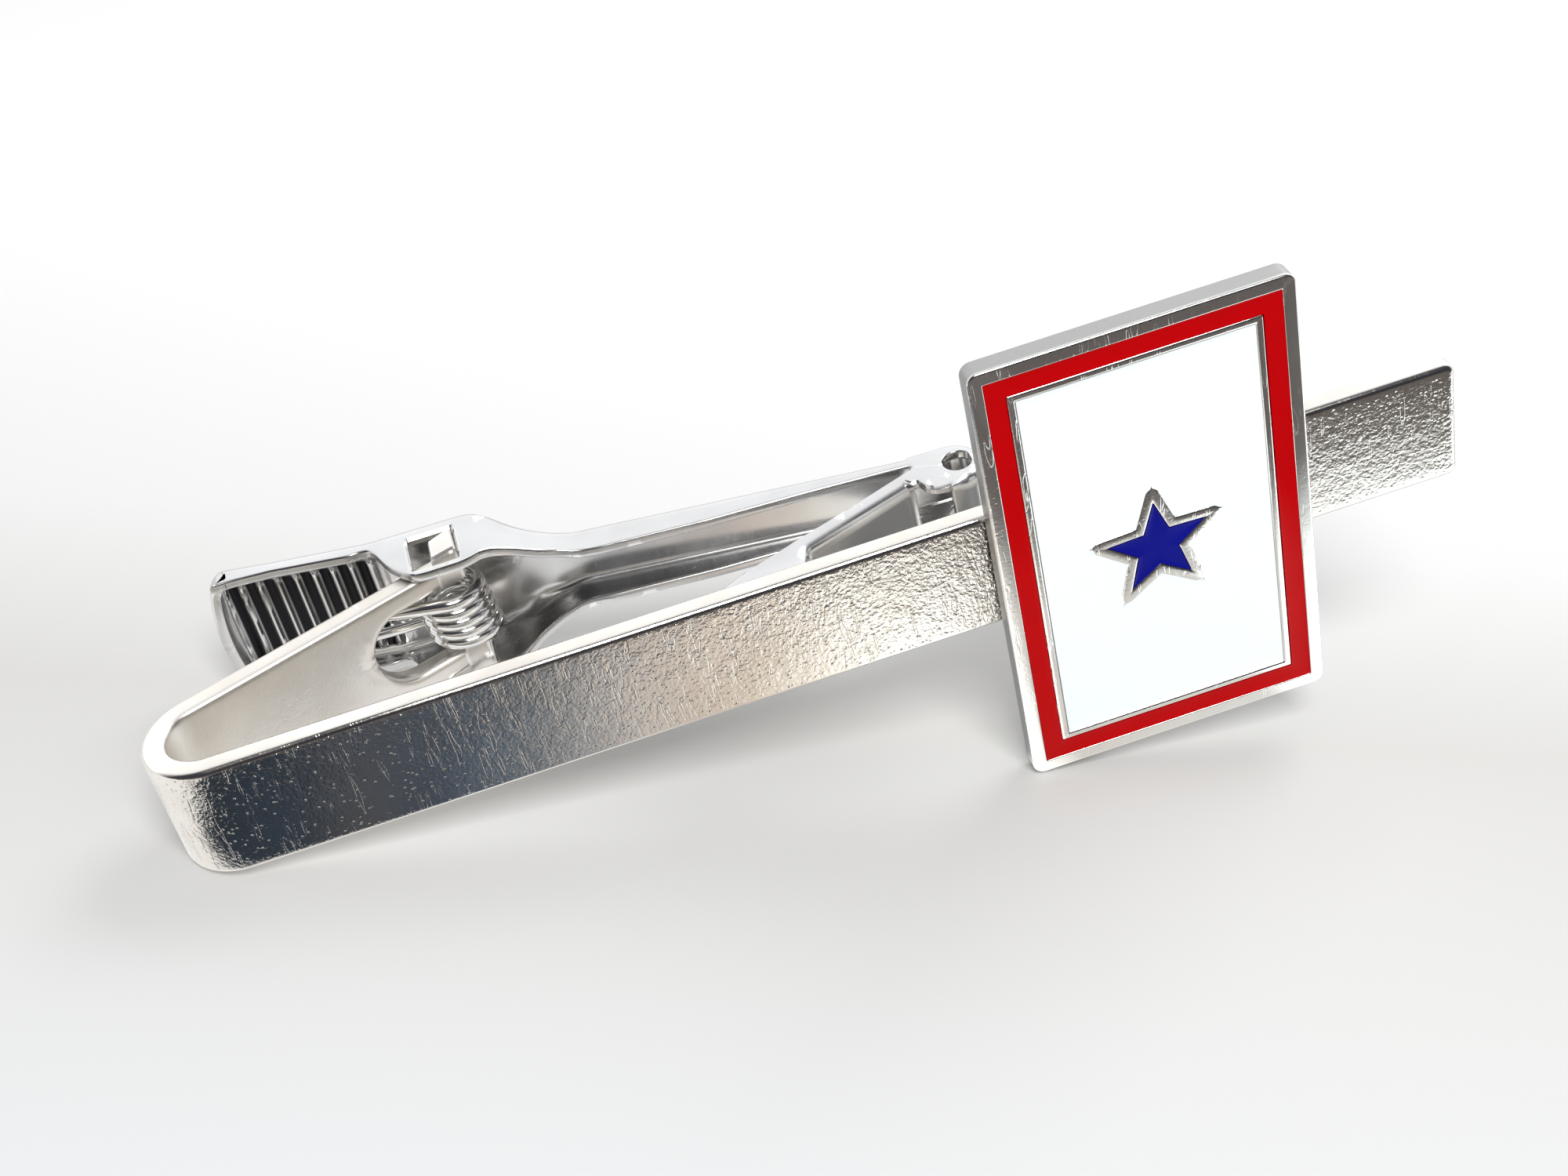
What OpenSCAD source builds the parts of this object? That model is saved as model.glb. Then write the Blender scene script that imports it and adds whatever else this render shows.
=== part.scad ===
// Tie bar with a sprung clip and a rectangular enamelled badge.
// All sizes are in millimetres. +X runs along the bar from the bend to the open end, +Z is up the
// badge, and the badge faces -Y. The origin is on the bar's back face, at the middle of the grip.

/* [Bar] */
// length over all, from the bend to the open end
bar_l = 55; // [45:0.5:68]
// width of the strip, top edge to bottom edge
bar_w = 5.5; // [4.5:0.1:7]
// thickness of the strip
sheet_t = 1.05; // [0.85:0.05:1.3]
// inside radius of the hairpin bend
bend_r = 1.6; // [1.4:0.1:2]
// corner radius of the open end
end_r = 0.4; // [0.2:0.05:0.8]

/* [Return arm] */
// angle at which the arm leaves the bar
arm_deg = 20.5; // [18:0.5:23]
// distance from the bend to the outer face of the upturned ears
arm_reach = 14.3; // [13.5:0.1:15.5]
// width of each prong beside the slot
prong_w = 1.05; // [0.85:0.05:1.3]
// length of the slot between the prongs
slot_l = 4; // [3.4:0.1:4.8]
// height of the ears above the back of the arm
ear_rise = 0.5; // [0.4:0.05:0.7]
// how far the lugs stand out of the lever's windows
lug_out = 0.2; // [0.1:0.05:0.4]

/* [Lever] */
// thickness of the lever's sheet
lever_t = 0.45; // [0.36:0.01:0.55]
// gap between the arm's edges and the lever's flanges, each side
side_gap = 0.1; // [0.06:0.01:0.2]
// length of the thumb end, from its lip to the ears
thumb_l = 11.2; // [10:0.1:12.5]
// depth of the flanges beside the thumb pad
thumb_d = 1.4; // [1.2:0.05:1.8]
// drop of the thumb pad towards the ears, as an angle
thumb_deg = 12; // [10:0.5:14]
// number of ribs pressed in the thumb pad
rib_n = 9; // [6:1:10]
// radius of each rib
rib_r = 0.24; // [0.18:0.01:0.27]
// outside width of the long nose
nose_w = 3.1; // [2.6:0.1:3.7]
// distance from the ears to the notch behind the jaw
nose_l = 19.4; // [18:0.1:22]
// depth of the nose's flanges at the notch
nose_d = 0.95; // [0.8:0.05:1.2]
// fall of the nose from the ears to the notch
nose_fall = 3.65; // [3.2:0.05:4]
// radius of the rounded end of the nose
nose_r = 1.5; // [1.3:0.05:1.8]
// radius of the hole through the nose
nose_hole_r = 0.6; // [0.45:0.05:0.7]
// length of the jaw's sole
sole_l = 5.2; // [4:0.1:6]
// width of the slanted leg between the nose and the sole
leg_w = 0.85; // [0.7:0.05:1.1]
// gap left between the jaw and the bar when closed
jaw_gap = 0.05; // [0.02:0.01:0.1]
// angle the lever opens through
open_deg = 24; // [18:1:24]

/* [Spring] */
// diameter of the spring's wire
wire_d = 0.6; // [0.45:0.05:0.7]
// outside diameter of the coil
coil_d = 3.3; // [2.8:0.1:3.5]

/* [Badge] */
// width of the badge
badge_w = 13.2; // [11:0.1:16]
// height of the badge
badge_h = 20.5; // [17:0.1:25]
// thickness of the badge
badge_t = 1.05; // [0.9:0.05:1.3]
// corner radius of the badge
badge_r = 0.5; // [0.3:0.05:1]
// distance from the badge to the open end of the bar
badge_inset = 7; // [5:0.1:9]
// width of the metal rim
rim_w = 0.6; // [0.5:0.05:0.8]
// width of the red border
border_w = 0.8; // [0.6:0.05:1.2]
// width of the metal line between the border and the field
line_w = 0.36; // [0.25:0.01:0.5]
// tip radius of the star's enamel
star_r = 2.1; // [1.7:0.05:2.6]
// width of the metal line around the star
star_line = 0.32; // [0.25:0.01:0.4]
// depth of the enamel pockets
pocket_d = 0.45; // [0.35:0.01:0.55]
// how far the enamel lies below the metal lines
enamel_low = 0.08; // [0.04:0.01:0.12]
// thickness of the solder between the badge and the bar
solder_t = 0.3; // [0.2:0.05:0.4]
// distance of the solder in from the badge's edges
solder_in = 0.6; // [0.4:0.05:1]

/* [Hidden] */
$fn = 48;
joined = 0.02;      // overlap that makes two solids of one piece into one
ease = 0.01;        // step that keeps faces of one piece from lying in each other
run_gap = 0.06;     // clearance between the lugs and their windows
coil_gap = 0.1;     // clearance between the coil and the prongs, each end
beyond = 30;        // a length past everything a cut goes through

// the strip: centre of the bend, and the line at distance r from it along the arm
bend_c = bend_r + sheet_t;
slot_w = bar_w - 2 * prong_w;
function arm_y(x, r) = bend_c + (x - bend_c) * tan(arm_deg) + r / cos(arm_deg);

// the pivot: the top outer corner of the lugs, about which the lever rocks
pivot_x = arm_reach;
pivot_y = arm_y(arm_reach, bend_c) + ear_rise;
lug_x = arm_reach - sheet_t;
lug_front = arm_y(lug_x, bend_r);
wide_h = bar_w / 2 + side_gap + lever_t;
nose_h = nose_w / 2;

// the lever seen from above: the stations along it, and the outer face of its web at each
coil_clear = 1.4;                       // web's height over the pivot, clear of the coil
ear_reach = 3.6;                        // length of the ears on the thumb side of the pivot
ear_past = 1.4;                         // and on the nose side
ear_slant = 1.6;                        // lean of the ears' thumb side
lip_x = pivot_x - thumb_l;
lip_r = thumb_d / 2;                    // radius of the lip that closes the thumb end
ear_x = pivot_x - ear_reach;
ear_back = pivot_y + coil_clear;
thumb_back = ear_back + (ear_x - lip_x) * tan(thumb_deg);
past_x = pivot_x + ear_past;
notch_x = pivot_x + nose_l;
notch_y = pivot_y - nose_fall;
notch_back = notch_y + nose_d;
neck_x = pivot_x + ear_past + 2.7;      // where the nose reaches its narrow width
neck_drop = 1.35;                       // fall of the web between the ears and the neck
neck_back = ear_back - neck_drop;
neck_d = 1.9;                           // depth of the flanges at the neck
ear_front = lug_front - 0.65;           // front edge of the ears, past the strip's front face
taper_deg = atan((wide_h - nose_h) / (neck_x - past_x));
window_x = pivot_x - 1.95;              // thumb-side edge of the windows
window_front = lug_front - 0.15;

// the jaw: the slanted leg, its heel, and the sole that lies along the bar
sole_y = sheet_t + jaw_gap;
sole_x = pivot_x + 8.3;                 // toe of the sole
heel_x = sole_x + sole_l;
leg_deg = 21.8;
leg_y = notch_y - 0.15;                 // back edge of the leg where it meets the notch
leg_drop = leg_w / cos(leg_deg);
function leg_back(x) = leg_y - (notch_x - x) * tan(leg_deg);
knee_x = sole_x + 2.9;                  // where the leg's back edge turns down to the toe
nose_x = notch_x + nose_r;
nose_y = notch_back - nose_r - 0.15;
relief_r = 0.14;
plate_end_x = notch_x - 1.7;            // nose-side end of the plate between the legs

// the thumb pad's plan: a bowed end
bow = 0.55;
bow_r = (wide_h * wide_h + bow * bow) / (2 * bow);

// the coil
turns = floor((slot_w - 2 * coil_gap) / wire_d);
pitch = wire_d - joined;
coil_r = (coil_d - wire_d) / 2;
coil_x = pivot_x - 0.8;
coil_y = arm_y(pivot_x - 0.8, bend_r + sheet_t / 2) + 0.25;
coil_z0 = -(turns - 1) * pitch / 2;
leg_d = wire_d * 0.96;                  // the legs, a shade finer so that they leave the turns cleanly
leg_gap = 0.12;                         // clearance under the end of each leg
leg_past = 1.6;                         // how far each leg runs past the point where it bears
// where each leg bears: on the arm at the end of the slot, and on the ribs of the thumb pad
leg_side = (turns - 1) * pitch / 2 + leg_d / 2;
slot_at_leg = lug_x - slot_l + slot_w / 2 - sqrt(pow(slot_w / 2, 2) - leg_side * leg_side);
bear_arm_x = slot_at_leg + 0.3;
bear_arm = [bear_arm_x - coil_x,
            arm_y(bear_arm_x, bend_c) + (leg_d / 2 + leg_gap) / cos(arm_deg) - coil_y];
bear_pad_x = rib_x(rib_n - 1);          // the rib nearest the ears
bear_pad = [bear_pad_x - coil_x,
            ear_back + (ear_x - bear_pad_x) * tan(thumb_deg) - lever_t - rib_r
                - leg_gap - leg_d / 2 - coil_y];
function bear_deg(b, s) = 180 + atan(b[1] / b[0]) - s * asin(coil_r / norm(b));
function bear_l(b) = sqrt(b * b - coil_r * coil_r);

// the badge
badge_x = bar_l - badge_inset - badge_w / 2;
badge_back = -solder_t;
badge_front = -solder_t - badge_t;
field_in = rim_w + border_w + line_w;
star_ratio = 0.42;
star_low = star_r * (1 - cos(36)) / 2 + 0.15;

// moves a sub-part from the bend's corner to the origin in the middle of the grip
module at_grip() {
    translate([-(sole_x + heel_x) / 2, -sheet_t, 0]) children();
}

// a plan drawn in X and Z, given a thickness along Y
module along_y(y0, y1) {
    translate([0, y1, 0]) rotate([90, 0, 0]) linear_extrude(height = y1 - y0) children();
}

// a view from above drawn in X and Y, given a height centred on the bar
module across_z(h) {
    linear_extrude(height = 2 * h, center = true) children();
}

module rounded(w, h, r) {
    union() {
        square([w - 2 * r, h], center = true);
        square([w, h - 2 * r], center = true);
        for (sx = [-1, 1]) for (sz = [-1, 1])
            translate([sx * (w / 2 - r), sz * (h / 2 - r)]) circle(r);
    }
}

// ---- the strip: bar, bend, return arm, prongs and ears

module strip_profile() {
    difference() {
        translate([bend_c, bend_c]) circle(bend_c, $fn = 96);
        translate([bend_c, bend_c]) circle(bend_r, $fn = 96);
        polygon([[bend_c, -joined], [bar_l, -joined], [bar_l, arm_y(bar_l, beyond)],
                 [bend_c - sin(arm_deg) * beyond, bend_c + cos(arm_deg) * beyond],
                 [bend_c, bend_c]]);
    }
    translate([bend_c, 0]) square([bar_l - bend_c, sheet_t]);
    translate([bend_c, bend_c]) rotate(arm_deg) translate([-4 * joined, bend_r + ease])
        square([(lug_x - bend_c) / cos(arm_deg) + bend_c * tan(arm_deg) + 8 * joined,
                sheet_t - 2 * ease]);
    lug_profile();
}

module lug_profile() {
    polygon([[lug_x, lug_front + 2 * ease],
             [arm_reach, lug_front + sheet_t * tan(arm_deg) + 2 * ease], [pivot_x, pivot_y], [lug_x, pivot_y - ear_rise - sheet_t / 4]]);
}

module clip_strip() {
    color([0.72, 0.71, 0.69]) at_grip() {
        difference() {
            union() {
                across_z(bar_w / 2) strip_profile();
                // the lugs that stand in the lever's windows
                across_z(wide_h + lug_out) lug_profile();
            }
            // the slot between the prongs, with a round end
            along_y(arm_y(lug_x - slot_l, 0), pivot_y + beyond) {
                translate([lug_x - slot_l + slot_w / 2, 0]) circle(slot_w / 2);
                translate([lug_x - slot_l + slot_w / 2, -slot_w / 2]) square([arm_reach, slot_w]);
            }
            // round corners at the open end
            along_y(-joined, sheet_t + joined) for (s = [-1, 1]) difference() {
                translate([bar_l - end_r, s * bar_w / 2 - (s > 0 ? end_r : 0)])
                    square([2 * end_r, end_r]);
                translate([bar_l - end_r, s * (bar_w / 2 - end_r)]) circle(end_r);
            }
        }
    }
}

// ---- the lever

// the outline seen from above, flanges and web together
module lever_side() {
    difference() {
        union() {
            // thumb end with its lip
            translate([lip_x + lip_r, thumb_back - lip_r * (1 + tan(thumb_deg))]) circle(lip_r);
            polygon([[lip_x, thumb_back - lip_r], [lip_x, thumb_back - thumb_d],
                     [ear_x, ear_back - thumb_d], [ear_x, ear_back],
                     [lip_x + lip_r, thumb_back - lip_r * tan(thumb_deg)]]);
            // ears
            polygon([[ear_x, ear_back], [ear_x, ear_back - thumb_d],
                     [ear_x + ear_slant, ear_front], [past_x - lever_t, ear_front],
                     [past_x, ear_front + lever_t], [neck_x, neck_back - neck_d],
                     [neck_x, neck_back], [past_x, ear_back]]);
            // nose
            polygon([[neck_x, neck_back], [neck_x, neck_back - neck_d],
                     [notch_x, notch_y], [notch_x, leg_y], [notch_x, leg_y - leg_drop],
                     [nose_x, nose_y], [nose_x, nose_y + nose_r], [notch_x, notch_back]]);
            translate([nose_x, nose_y]) circle(nose_r);
            jaw_side();
        }
        // the end of the notch between the nose and the leg, drilled round
        translate([notch_x, (notch_y + leg_y) / 2]) circle(relief_r);
        translate([nose_x, nose_y]) circle(nose_hole_r);
    }
}

module jaw_side() {
    polygon([[sole_x, sole_y], [heel_x, sole_y],
             [heel_x + lever_t / 2, leg_back(heel_x + lever_t / 2) - leg_drop],
             [notch_x + joined, leg_back(notch_x) - leg_drop], [notch_x + joined, leg_y],
             [knee_x, leg_back(knee_x)]]);
}

// everything in front of the web, seen from above: what the flanges stand either side of
module lever_inside() {
    difference() {
        union() {
            polygon([[lip_x + lever_t, sole_y - beyond], [nose_x, sole_y - beyond],
                     [nose_x, nose_y + nose_r - lever_t], [notch_x, notch_back - lever_t],
                     [neck_x, neck_back - lever_t], [past_x, ear_back - lever_t],
                     [ear_x, ear_back - lever_t],
                     [lip_x + lip_r, thumb_back - lip_r * tan(thumb_deg) - lever_t],
                     [lip_x + lever_t, thumb_back - lip_r]]);
            translate([nose_x, nose_y]) circle(nose_r - lever_t);
        }
        // ribs pressed from the back stand inside the pad
        pad_ribs(ear_back - lever_t);
    }
}

module pad_ribs(y) {
    for (i = [0 : rib_n - 1]) translate([rib_x(i), y + (ear_x - rib_x(i)) * tan(thumb_deg)])
        circle(rib_r, $fn = 24);
}
function rib_x(i) = lip_x + lip_r + rib_r + (ear_x - lip_x - lip_r - rib_r) * i / rib_n;

// the outline seen from behind, inset by t all round
module lever_plan(t) {
    s = t * tan(taper_deg / 2);
    h = wide_h - t;
    n = nose_h - t;
    intersection() {
        polygon([[lip_x - bow, -h], [past_x - s, -h], [neck_x - s, -n], [nose_x + nose_r, -n],
                 [nose_x + nose_r, n], [neck_x - s, n], [past_x - s, h], [lip_x - bow, h]]);
        translate([lip_x + bow_r, 0]) union() {
            circle(bow_r - t, $fn = 180);
            translate([0, -wide_h]) square([nose_x + nose_r, 2 * wide_h]);
        }
    }
}

// the windows in the flanges that the lugs stand in
module lever_windows() {
    polygon([[window_x, window_front], [pivot_x + run_gap, window_front],
             [pivot_x + run_gap, pivot_y + run_gap], [window_x + lever_t, pivot_y + run_gap],
             [window_x, pivot_y - lever_t]]);
}

module spring_lever() {
    color([0.78, 0.78, 0.77]) at_grip() {
        difference() {
            intersection() {
                across_z(wide_h) lever_side();
                along_y(0, pivot_y + beyond) lever_plan(0);
            }
            intersection() {
                across_z(wide_h) lever_inside();
                along_y(-beyond, pivot_y + beyond) lever_plan(lever_t);
            }
            across_z(wide_h + joined) lever_windows();
        }
        // the plate across the front of the leg, round the heel and along the sole
        difference() {
            across_z(nose_h - joined) difference() {
                jaw_side();
                translate([-lever_t, lever_t]) jaw_side();
            }
            translate([plate_end_x, 0, -nose_w]) cube([beyond, beyond, 2 * nose_w]);
        }
    }
}

// ---- the spring: closed turns and two legs

module torsion_spring() {
    color([0.66, 0.66, 0.65]) at_grip() translate([coil_x, coil_y, 0]) {
        for (i = [0 : turns - 1]) translate([0, 0, coil_z0 + i * pitch])
            rotate_extrude($fn = 48) translate([coil_r, 0]) circle(wire_d / 2, $fn = 24);
        // the leg that runs through the slot to bear on the arm, leaving the top turn
        translate([0, 0, coil_z0 + (turns - 1) * pitch]) rotate(bear_deg(bear_arm, 1))
            translate([0, coil_r, 0]) rotate([0, 90, 0])
                cylinder(h = bear_l(bear_arm) + leg_past, d = leg_d, $fn = 24);
        // the leg that bears on the thumb pad, leaving the bottom turn
        translate([0, 0, coil_z0]) rotate(bear_deg(bear_pad, -1))
            translate([0, -coil_r, 0]) rotate([0, 90, 0])
                cylinder(h = bear_l(bear_pad) + leg_past, d = leg_d, $fn = 24);
    }
}

// ---- the badge

module on_badge(depth0, depth1) {
    at_grip() translate([badge_x, 0, 0])
        along_y(badge_front + depth0, badge_front + depth1) children();
}

// a star whose sides lie w outside those of the enamel star
module star(w) {
    tip = atan(star_ratio * sin(36) / (1 - star_ratio * cos(36)));
    ro = star_r + w / sin(tip);
    ri = star_r * star_ratio + w / sin(36 + tip);
    translate([0, -star_low]) polygon([for (k = [0 : 9])
        (k % 2 == 0 ? ro : ri) * [cos(90 + 36 * k), sin(90 + 36 * k)]]);
}

module badge_outline(t) {
    square([badge_w - 2 * t, badge_h - 2 * t], center = true);
}

module badge_plate() {
    color([0.75, 0.74, 0.72]) {
        on_badge(pocket_d, badge_t) rounded(badge_w, badge_h, badge_r);
        on_badge(0, pocket_d + joined) difference() {
            rounded(badge_w, badge_h, badge_r);
            badge_outline(rim_w);
        }
        on_badge(0, pocket_d + joined) difference() {
            badge_outline(rim_w + border_w);
            badge_outline(field_in);
        }
        on_badge(0, pocket_d + joined) difference() {
            star(star_line);
            star(0);
        }
    }
}

module enamel_border() {
    color([0.78, 0.03, 0.04]) on_badge(enamel_low, pocket_d) difference() {
        badge_outline(rim_w);
        badge_outline(rim_w + border_w);
    }
}

module enamel_field() {
    color([0.93, 0.96, 0.98]) on_badge(enamel_low, pocket_d) difference() {
        badge_outline(field_in);
        star(star_line);
    }
}

module enamel_star() {
    color([0.05, 0.03, 0.5]) on_badge(enamel_low, pocket_d) star(0);
}

module badge_solder() {
    color([0.5, 0.5, 0.5]) at_grip() translate([badge_x, 0, 0])
        along_y(badge_back, 0) square([badge_w - 2 * solder_in, bar_w - solder_in], center = true);
}

clip_strip();
spring_lever();
torsion_spring();
badge_plate();
enamel_border();
enamel_field();
enamel_star();
badge_solder();
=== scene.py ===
# %% [markdown]
# # A sprung tie bar with an enamelled badge
#
# The real object is a strip of plated brass bent into a hairpin, with a pressed lever rocking on
# the end of its return arm. A small coil spring pushes the lever's jaw on to the bar, and a tall
# enamelled badge is soldered across the front. The frame, made in CAD, gives the places and the
# overall sizes; this lesson gives each piece its rolled edges, pressed bends and finish.

import bmesh
import bpy
import numpy as np
from mathutils import Matrix, Vector


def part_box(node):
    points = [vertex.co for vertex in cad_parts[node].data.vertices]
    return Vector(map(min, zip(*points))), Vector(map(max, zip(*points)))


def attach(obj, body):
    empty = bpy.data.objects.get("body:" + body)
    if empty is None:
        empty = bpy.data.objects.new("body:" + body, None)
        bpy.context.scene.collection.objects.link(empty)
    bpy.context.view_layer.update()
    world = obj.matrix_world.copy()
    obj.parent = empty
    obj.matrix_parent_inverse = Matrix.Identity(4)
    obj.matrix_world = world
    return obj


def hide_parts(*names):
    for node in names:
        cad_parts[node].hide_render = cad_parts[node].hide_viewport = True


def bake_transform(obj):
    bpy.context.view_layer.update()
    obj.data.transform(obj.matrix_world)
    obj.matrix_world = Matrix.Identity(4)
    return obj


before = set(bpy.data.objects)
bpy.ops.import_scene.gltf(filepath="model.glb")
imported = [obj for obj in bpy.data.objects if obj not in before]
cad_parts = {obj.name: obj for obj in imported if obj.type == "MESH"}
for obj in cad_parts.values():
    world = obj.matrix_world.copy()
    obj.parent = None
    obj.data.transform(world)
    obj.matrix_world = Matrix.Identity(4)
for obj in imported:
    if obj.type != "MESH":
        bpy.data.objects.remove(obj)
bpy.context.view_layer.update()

# %% [markdown]
# ## Two ways of measuring
#
# A bench drawing of this clip starts from the outside of the bend, with the bar's front face as
# its base line. The frame's origin is in the middle of the grip. All profiles below are in the
# drawing's millimetres, and one function carries them into the frame, in metres. The offset
# between the two comes from the strip's own box, so it can't drift from the CAD.

# %% The drawing's base
strip_low, strip_high = (np.array(c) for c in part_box("clip_strip"))
badge_low, badge_high = (np.array(c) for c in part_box("badge_plate"))
lever_low, lever_high = (np.array(c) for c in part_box("spring_lever"))
BASE = np.array([strip_low[0], strip_low[1], 0.0])
MM = 0.001


def in_frame(points):
    """The drawing's millimetres as the frame's metres: one scale and one shift."""
    return np.asarray(points, float) * MM + BASE


bar_l = (strip_high[0] - strip_low[0]) / MM
badge_mid = ((badge_low + badge_high) / 2 - BASE) / MM
badge_w, badge_t, badge_h = (badge_high - badge_low) / MM
print(f"bar {bar_l:.1f} mm long, badge {badge_w:.1f} x {badge_h:.1f} x {badge_t:.2f} mm")

# %% [markdown]
# ## From arrays to a closed shell
#
# Every piece is worked out as whole arrays. What is left is bookkeeping: grids become quads, and
# seams where two edges meet are welded. Welding before the normals are worked out matters,
# because a gap in a shell leaves Blender guessing which side is out.

# %% Grids, shells and shading
def grid_faces(rows, cols, start=0, wrap=False):
    """Quads over a rows x cols grid of points; with wrap, the last column joins the first."""
    at = np.arange(rows * cols).reshape(rows, cols) + start
    if wrap:
        at = np.concatenate([at, at[:, :1]], 1)
    return np.stack([at[:-1, :-1], at[1:, :-1], at[1:, 1:], at[:-1, 1:]], -1).reshape(-1, 4)


def shell(name, points, faces, body, sharp=40, weld=2e-7):
    """A mesh object from points in metres and quads: welded, facing out, smooth but for sharp edges."""
    mesh = bpy.data.meshes.new(name)
    mesh.from_pydata(np.asarray(points, float).tolist(), [], np.asarray(faces).tolist())
    bm = bmesh.new()
    bm.from_mesh(mesh)
    bmesh.ops.remove_doubles(bm, verts=bm.verts, dist=weld)
    bmesh.ops.dissolve_degenerate(bm, edges=bm.edges, dist=weld / 2)
    bmesh.ops.recalc_face_normals(bm, faces=bm.faces)
    open_edges = sum(1 for e in bm.edges if len(e.link_faces) != 2)
    volume = bm.calc_volume()
    bm.to_mesh(mesh)
    bm.free()
    mesh.shade_smooth()
    mesh.set_sharp_from_angle(angle=np.radians(sharp))
    piece = bpy.data.objects.new(name, mesh)
    bpy.context.scene.collection.objects.link(piece)
    if body is not None:
        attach(piece, body)
    places = np.array([v.co for v in mesh.vertices])
    print(f"{name}: {len(mesh.polygons)} faces, {open_edges} open edges, {volume * 1e9:.1f} mm3, "
          f"size {np.round((places.max(0) - places.min(0)) / MM, 2)} mm")
    return piece


# %% [markdown]
# ## Sheet metal
#
# The bar, the arm and the lever are all sheet, so one function makes them all. It takes the
# middle surface of the sheet as a grid, the direction of its outer side, and the distance of each
# point from the nearest cut edge. The two skins stand off by half the thickness, less near a cut
# edge, where they roll over in a quarter circle. That rolled edge is what catches the light on
# real tumbled and plated work; a Solidify modifier would leave it sharp, and a Bevel would have to
# fight the dense grid.

# %% A sheet with rolled edges
def sheet(middle, outward, edge, keep, thick, roll, flush=False):
    """Points and quads of a sheet. The half thickness at distance e from a cut edge is
    thick/2 - roll + sqrt(roll^2 - (roll - e)^2), level past e = roll. keep says which quads exist;
    walls close the sheet where a kept quad ends on a cut edge (edge = 0). Where flush is true a
    cut edge isn't rolled: two cut edges meet there."""
    rise = np.where(flush, 1, np.clip(edge / roll, 0, 1))
    half = (thick / 2 - roll + roll * np.sqrt(1 - (1 - rise) ** 2))[..., None]
    rows, cols = edge.shape
    points = np.concatenate([(middle + outward * half).reshape(-1, 3),
                             (middle - outward * half).reshape(-1, 3)])
    at = np.arange(rows * cols).reshape(rows, cols)
    top = np.stack([at[:-1, :-1], at[1:, :-1], at[1:, 1:], at[:-1, 1:]], -1)[keep]
    under = top[:, ::-1] + rows * cols
    padded = np.pad(keep, 1)
    cut = edge < 1e-6
    along = (padded[1:-1, :-1] != padded[1:-1, 1:]) & cut[:-1] & cut[1:]
    across = (padded[:-1, 1:-1] != padded[1:, 1:-1]) & cut[:, :-1] & cut[:, 1:]
    a1, b1 = at[:-1][along], at[1:][along]
    a2, b2 = at[:, :-1][across], at[:, 1:][across]
    a, b = np.concatenate([a1, a2]), np.concatenate([b1, b2])
    walls = np.stack([a, b, b + rows * cols, a + rows * cols], -1)
    return points, np.concatenate([top, under, walls])


def smooth_step(x, low, high):
    """0 below low, 1 above high, and 3t^2 - 2t^3 between them."""
    t = np.clip((np.asarray(x, float) - low) / (high - low), 0, 1)
    return t * t * (3 - 2 * t)


# %% [markdown]
# ## Lines with round corners
#
# Bent metal is straight between its bends. A profile is given as a few corners, each with the
# radius of its bend, and is then walked. Points at any distance along it, with the line's
# direction there, come from the walk, and the outward side follows from the direction.

# %% Walk a line with round corners
def walk(corners, radii, step):
    """Points along a line, and the distance run at each. Corner i is an arc of radius radii[i],
    tangent to both sides: it starts r*tan(turn/2) before the corner."""
    corners = np.asarray(corners, float)
    points = [corners[0]]
    for i in range(1, len(corners) - 1):
        u = corners[i] - corners[i - 1]
        v = corners[i + 1] - corners[i]
        u, v = u / np.linalg.norm(u), v / np.linalg.norm(v)
        turn = np.arctan2(u[0] * v[1] - u[1] * v[0], u @ v)
        r = radii[i]
        back = r * np.tan(abs(turn) / 2)
        centre = corners[i] - u * back + np.sign(turn) * r * np.array([-u[1], u[0]])
        spoke = corners[i] - u * back - centre
        angles = np.linspace(0, turn, max(2, int(abs(turn) * max(r, 0.2) / step) + 5))
        c, s = np.cos(angles), np.sin(angles)
        points += list(np.stack([centre[0] + c * spoke[0] - s * spoke[1],
                                 centre[1] + s * spoke[0] + c * spoke[1]], -1))
    points.append(corners[-1])
    points = np.array(points)
    run = np.concatenate([[0], np.cumsum(np.linalg.norm(np.diff(points, axis=0), axis=1))])
    return points, run


def resample(points, run, at):
    """The line's points and unit directions at the distances at."""
    xy = np.stack([np.interp(at, run, points[:, k]) for k in (0, 1)], -1)
    ahead = np.stack([np.interp(at + 0.02, run, points[:, k]) for k in (0, 1)], -1)
    behind = np.stack([np.interp(at - 0.02, run, points[:, k]) for k in (0, 1)], -1)
    way = ahead - behind
    return xy, way / np.linalg.norm(way, axis=1, keepdims=True)


# %% [markdown]
# ## The bar, the bend and the return arm
#
# One strip makes all three: flat bar, hairpin bend, and an arm that rises at 20.5 degrees. Near
# its end the arm is slotted, leaving two prongs. A drawn path with a bevel object could not taper
# into prongs, so the strip is a sheet over (distance along, height), whose inner and outer lines
# are functions of the distance. The slot's round end is where its inner line leaves the middle.

# %% The strip's path
sheet_t = 1.05
strip_w = 5.5
bend_r = 1.6
arm_angle = np.radians(20.5)
bend_c = bend_r + sheet_t
lug_x = 13.25
middle_r = bend_r + sheet_t / 2

straight = bar_l - bend_c
bend = (np.pi - arm_angle) * middle_r
arm = (lug_x + 0.25 - bend_c) / np.cos(arm_angle) + middle_r * np.tan(arm_angle)
strip_run = straight + bend + arm


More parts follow.
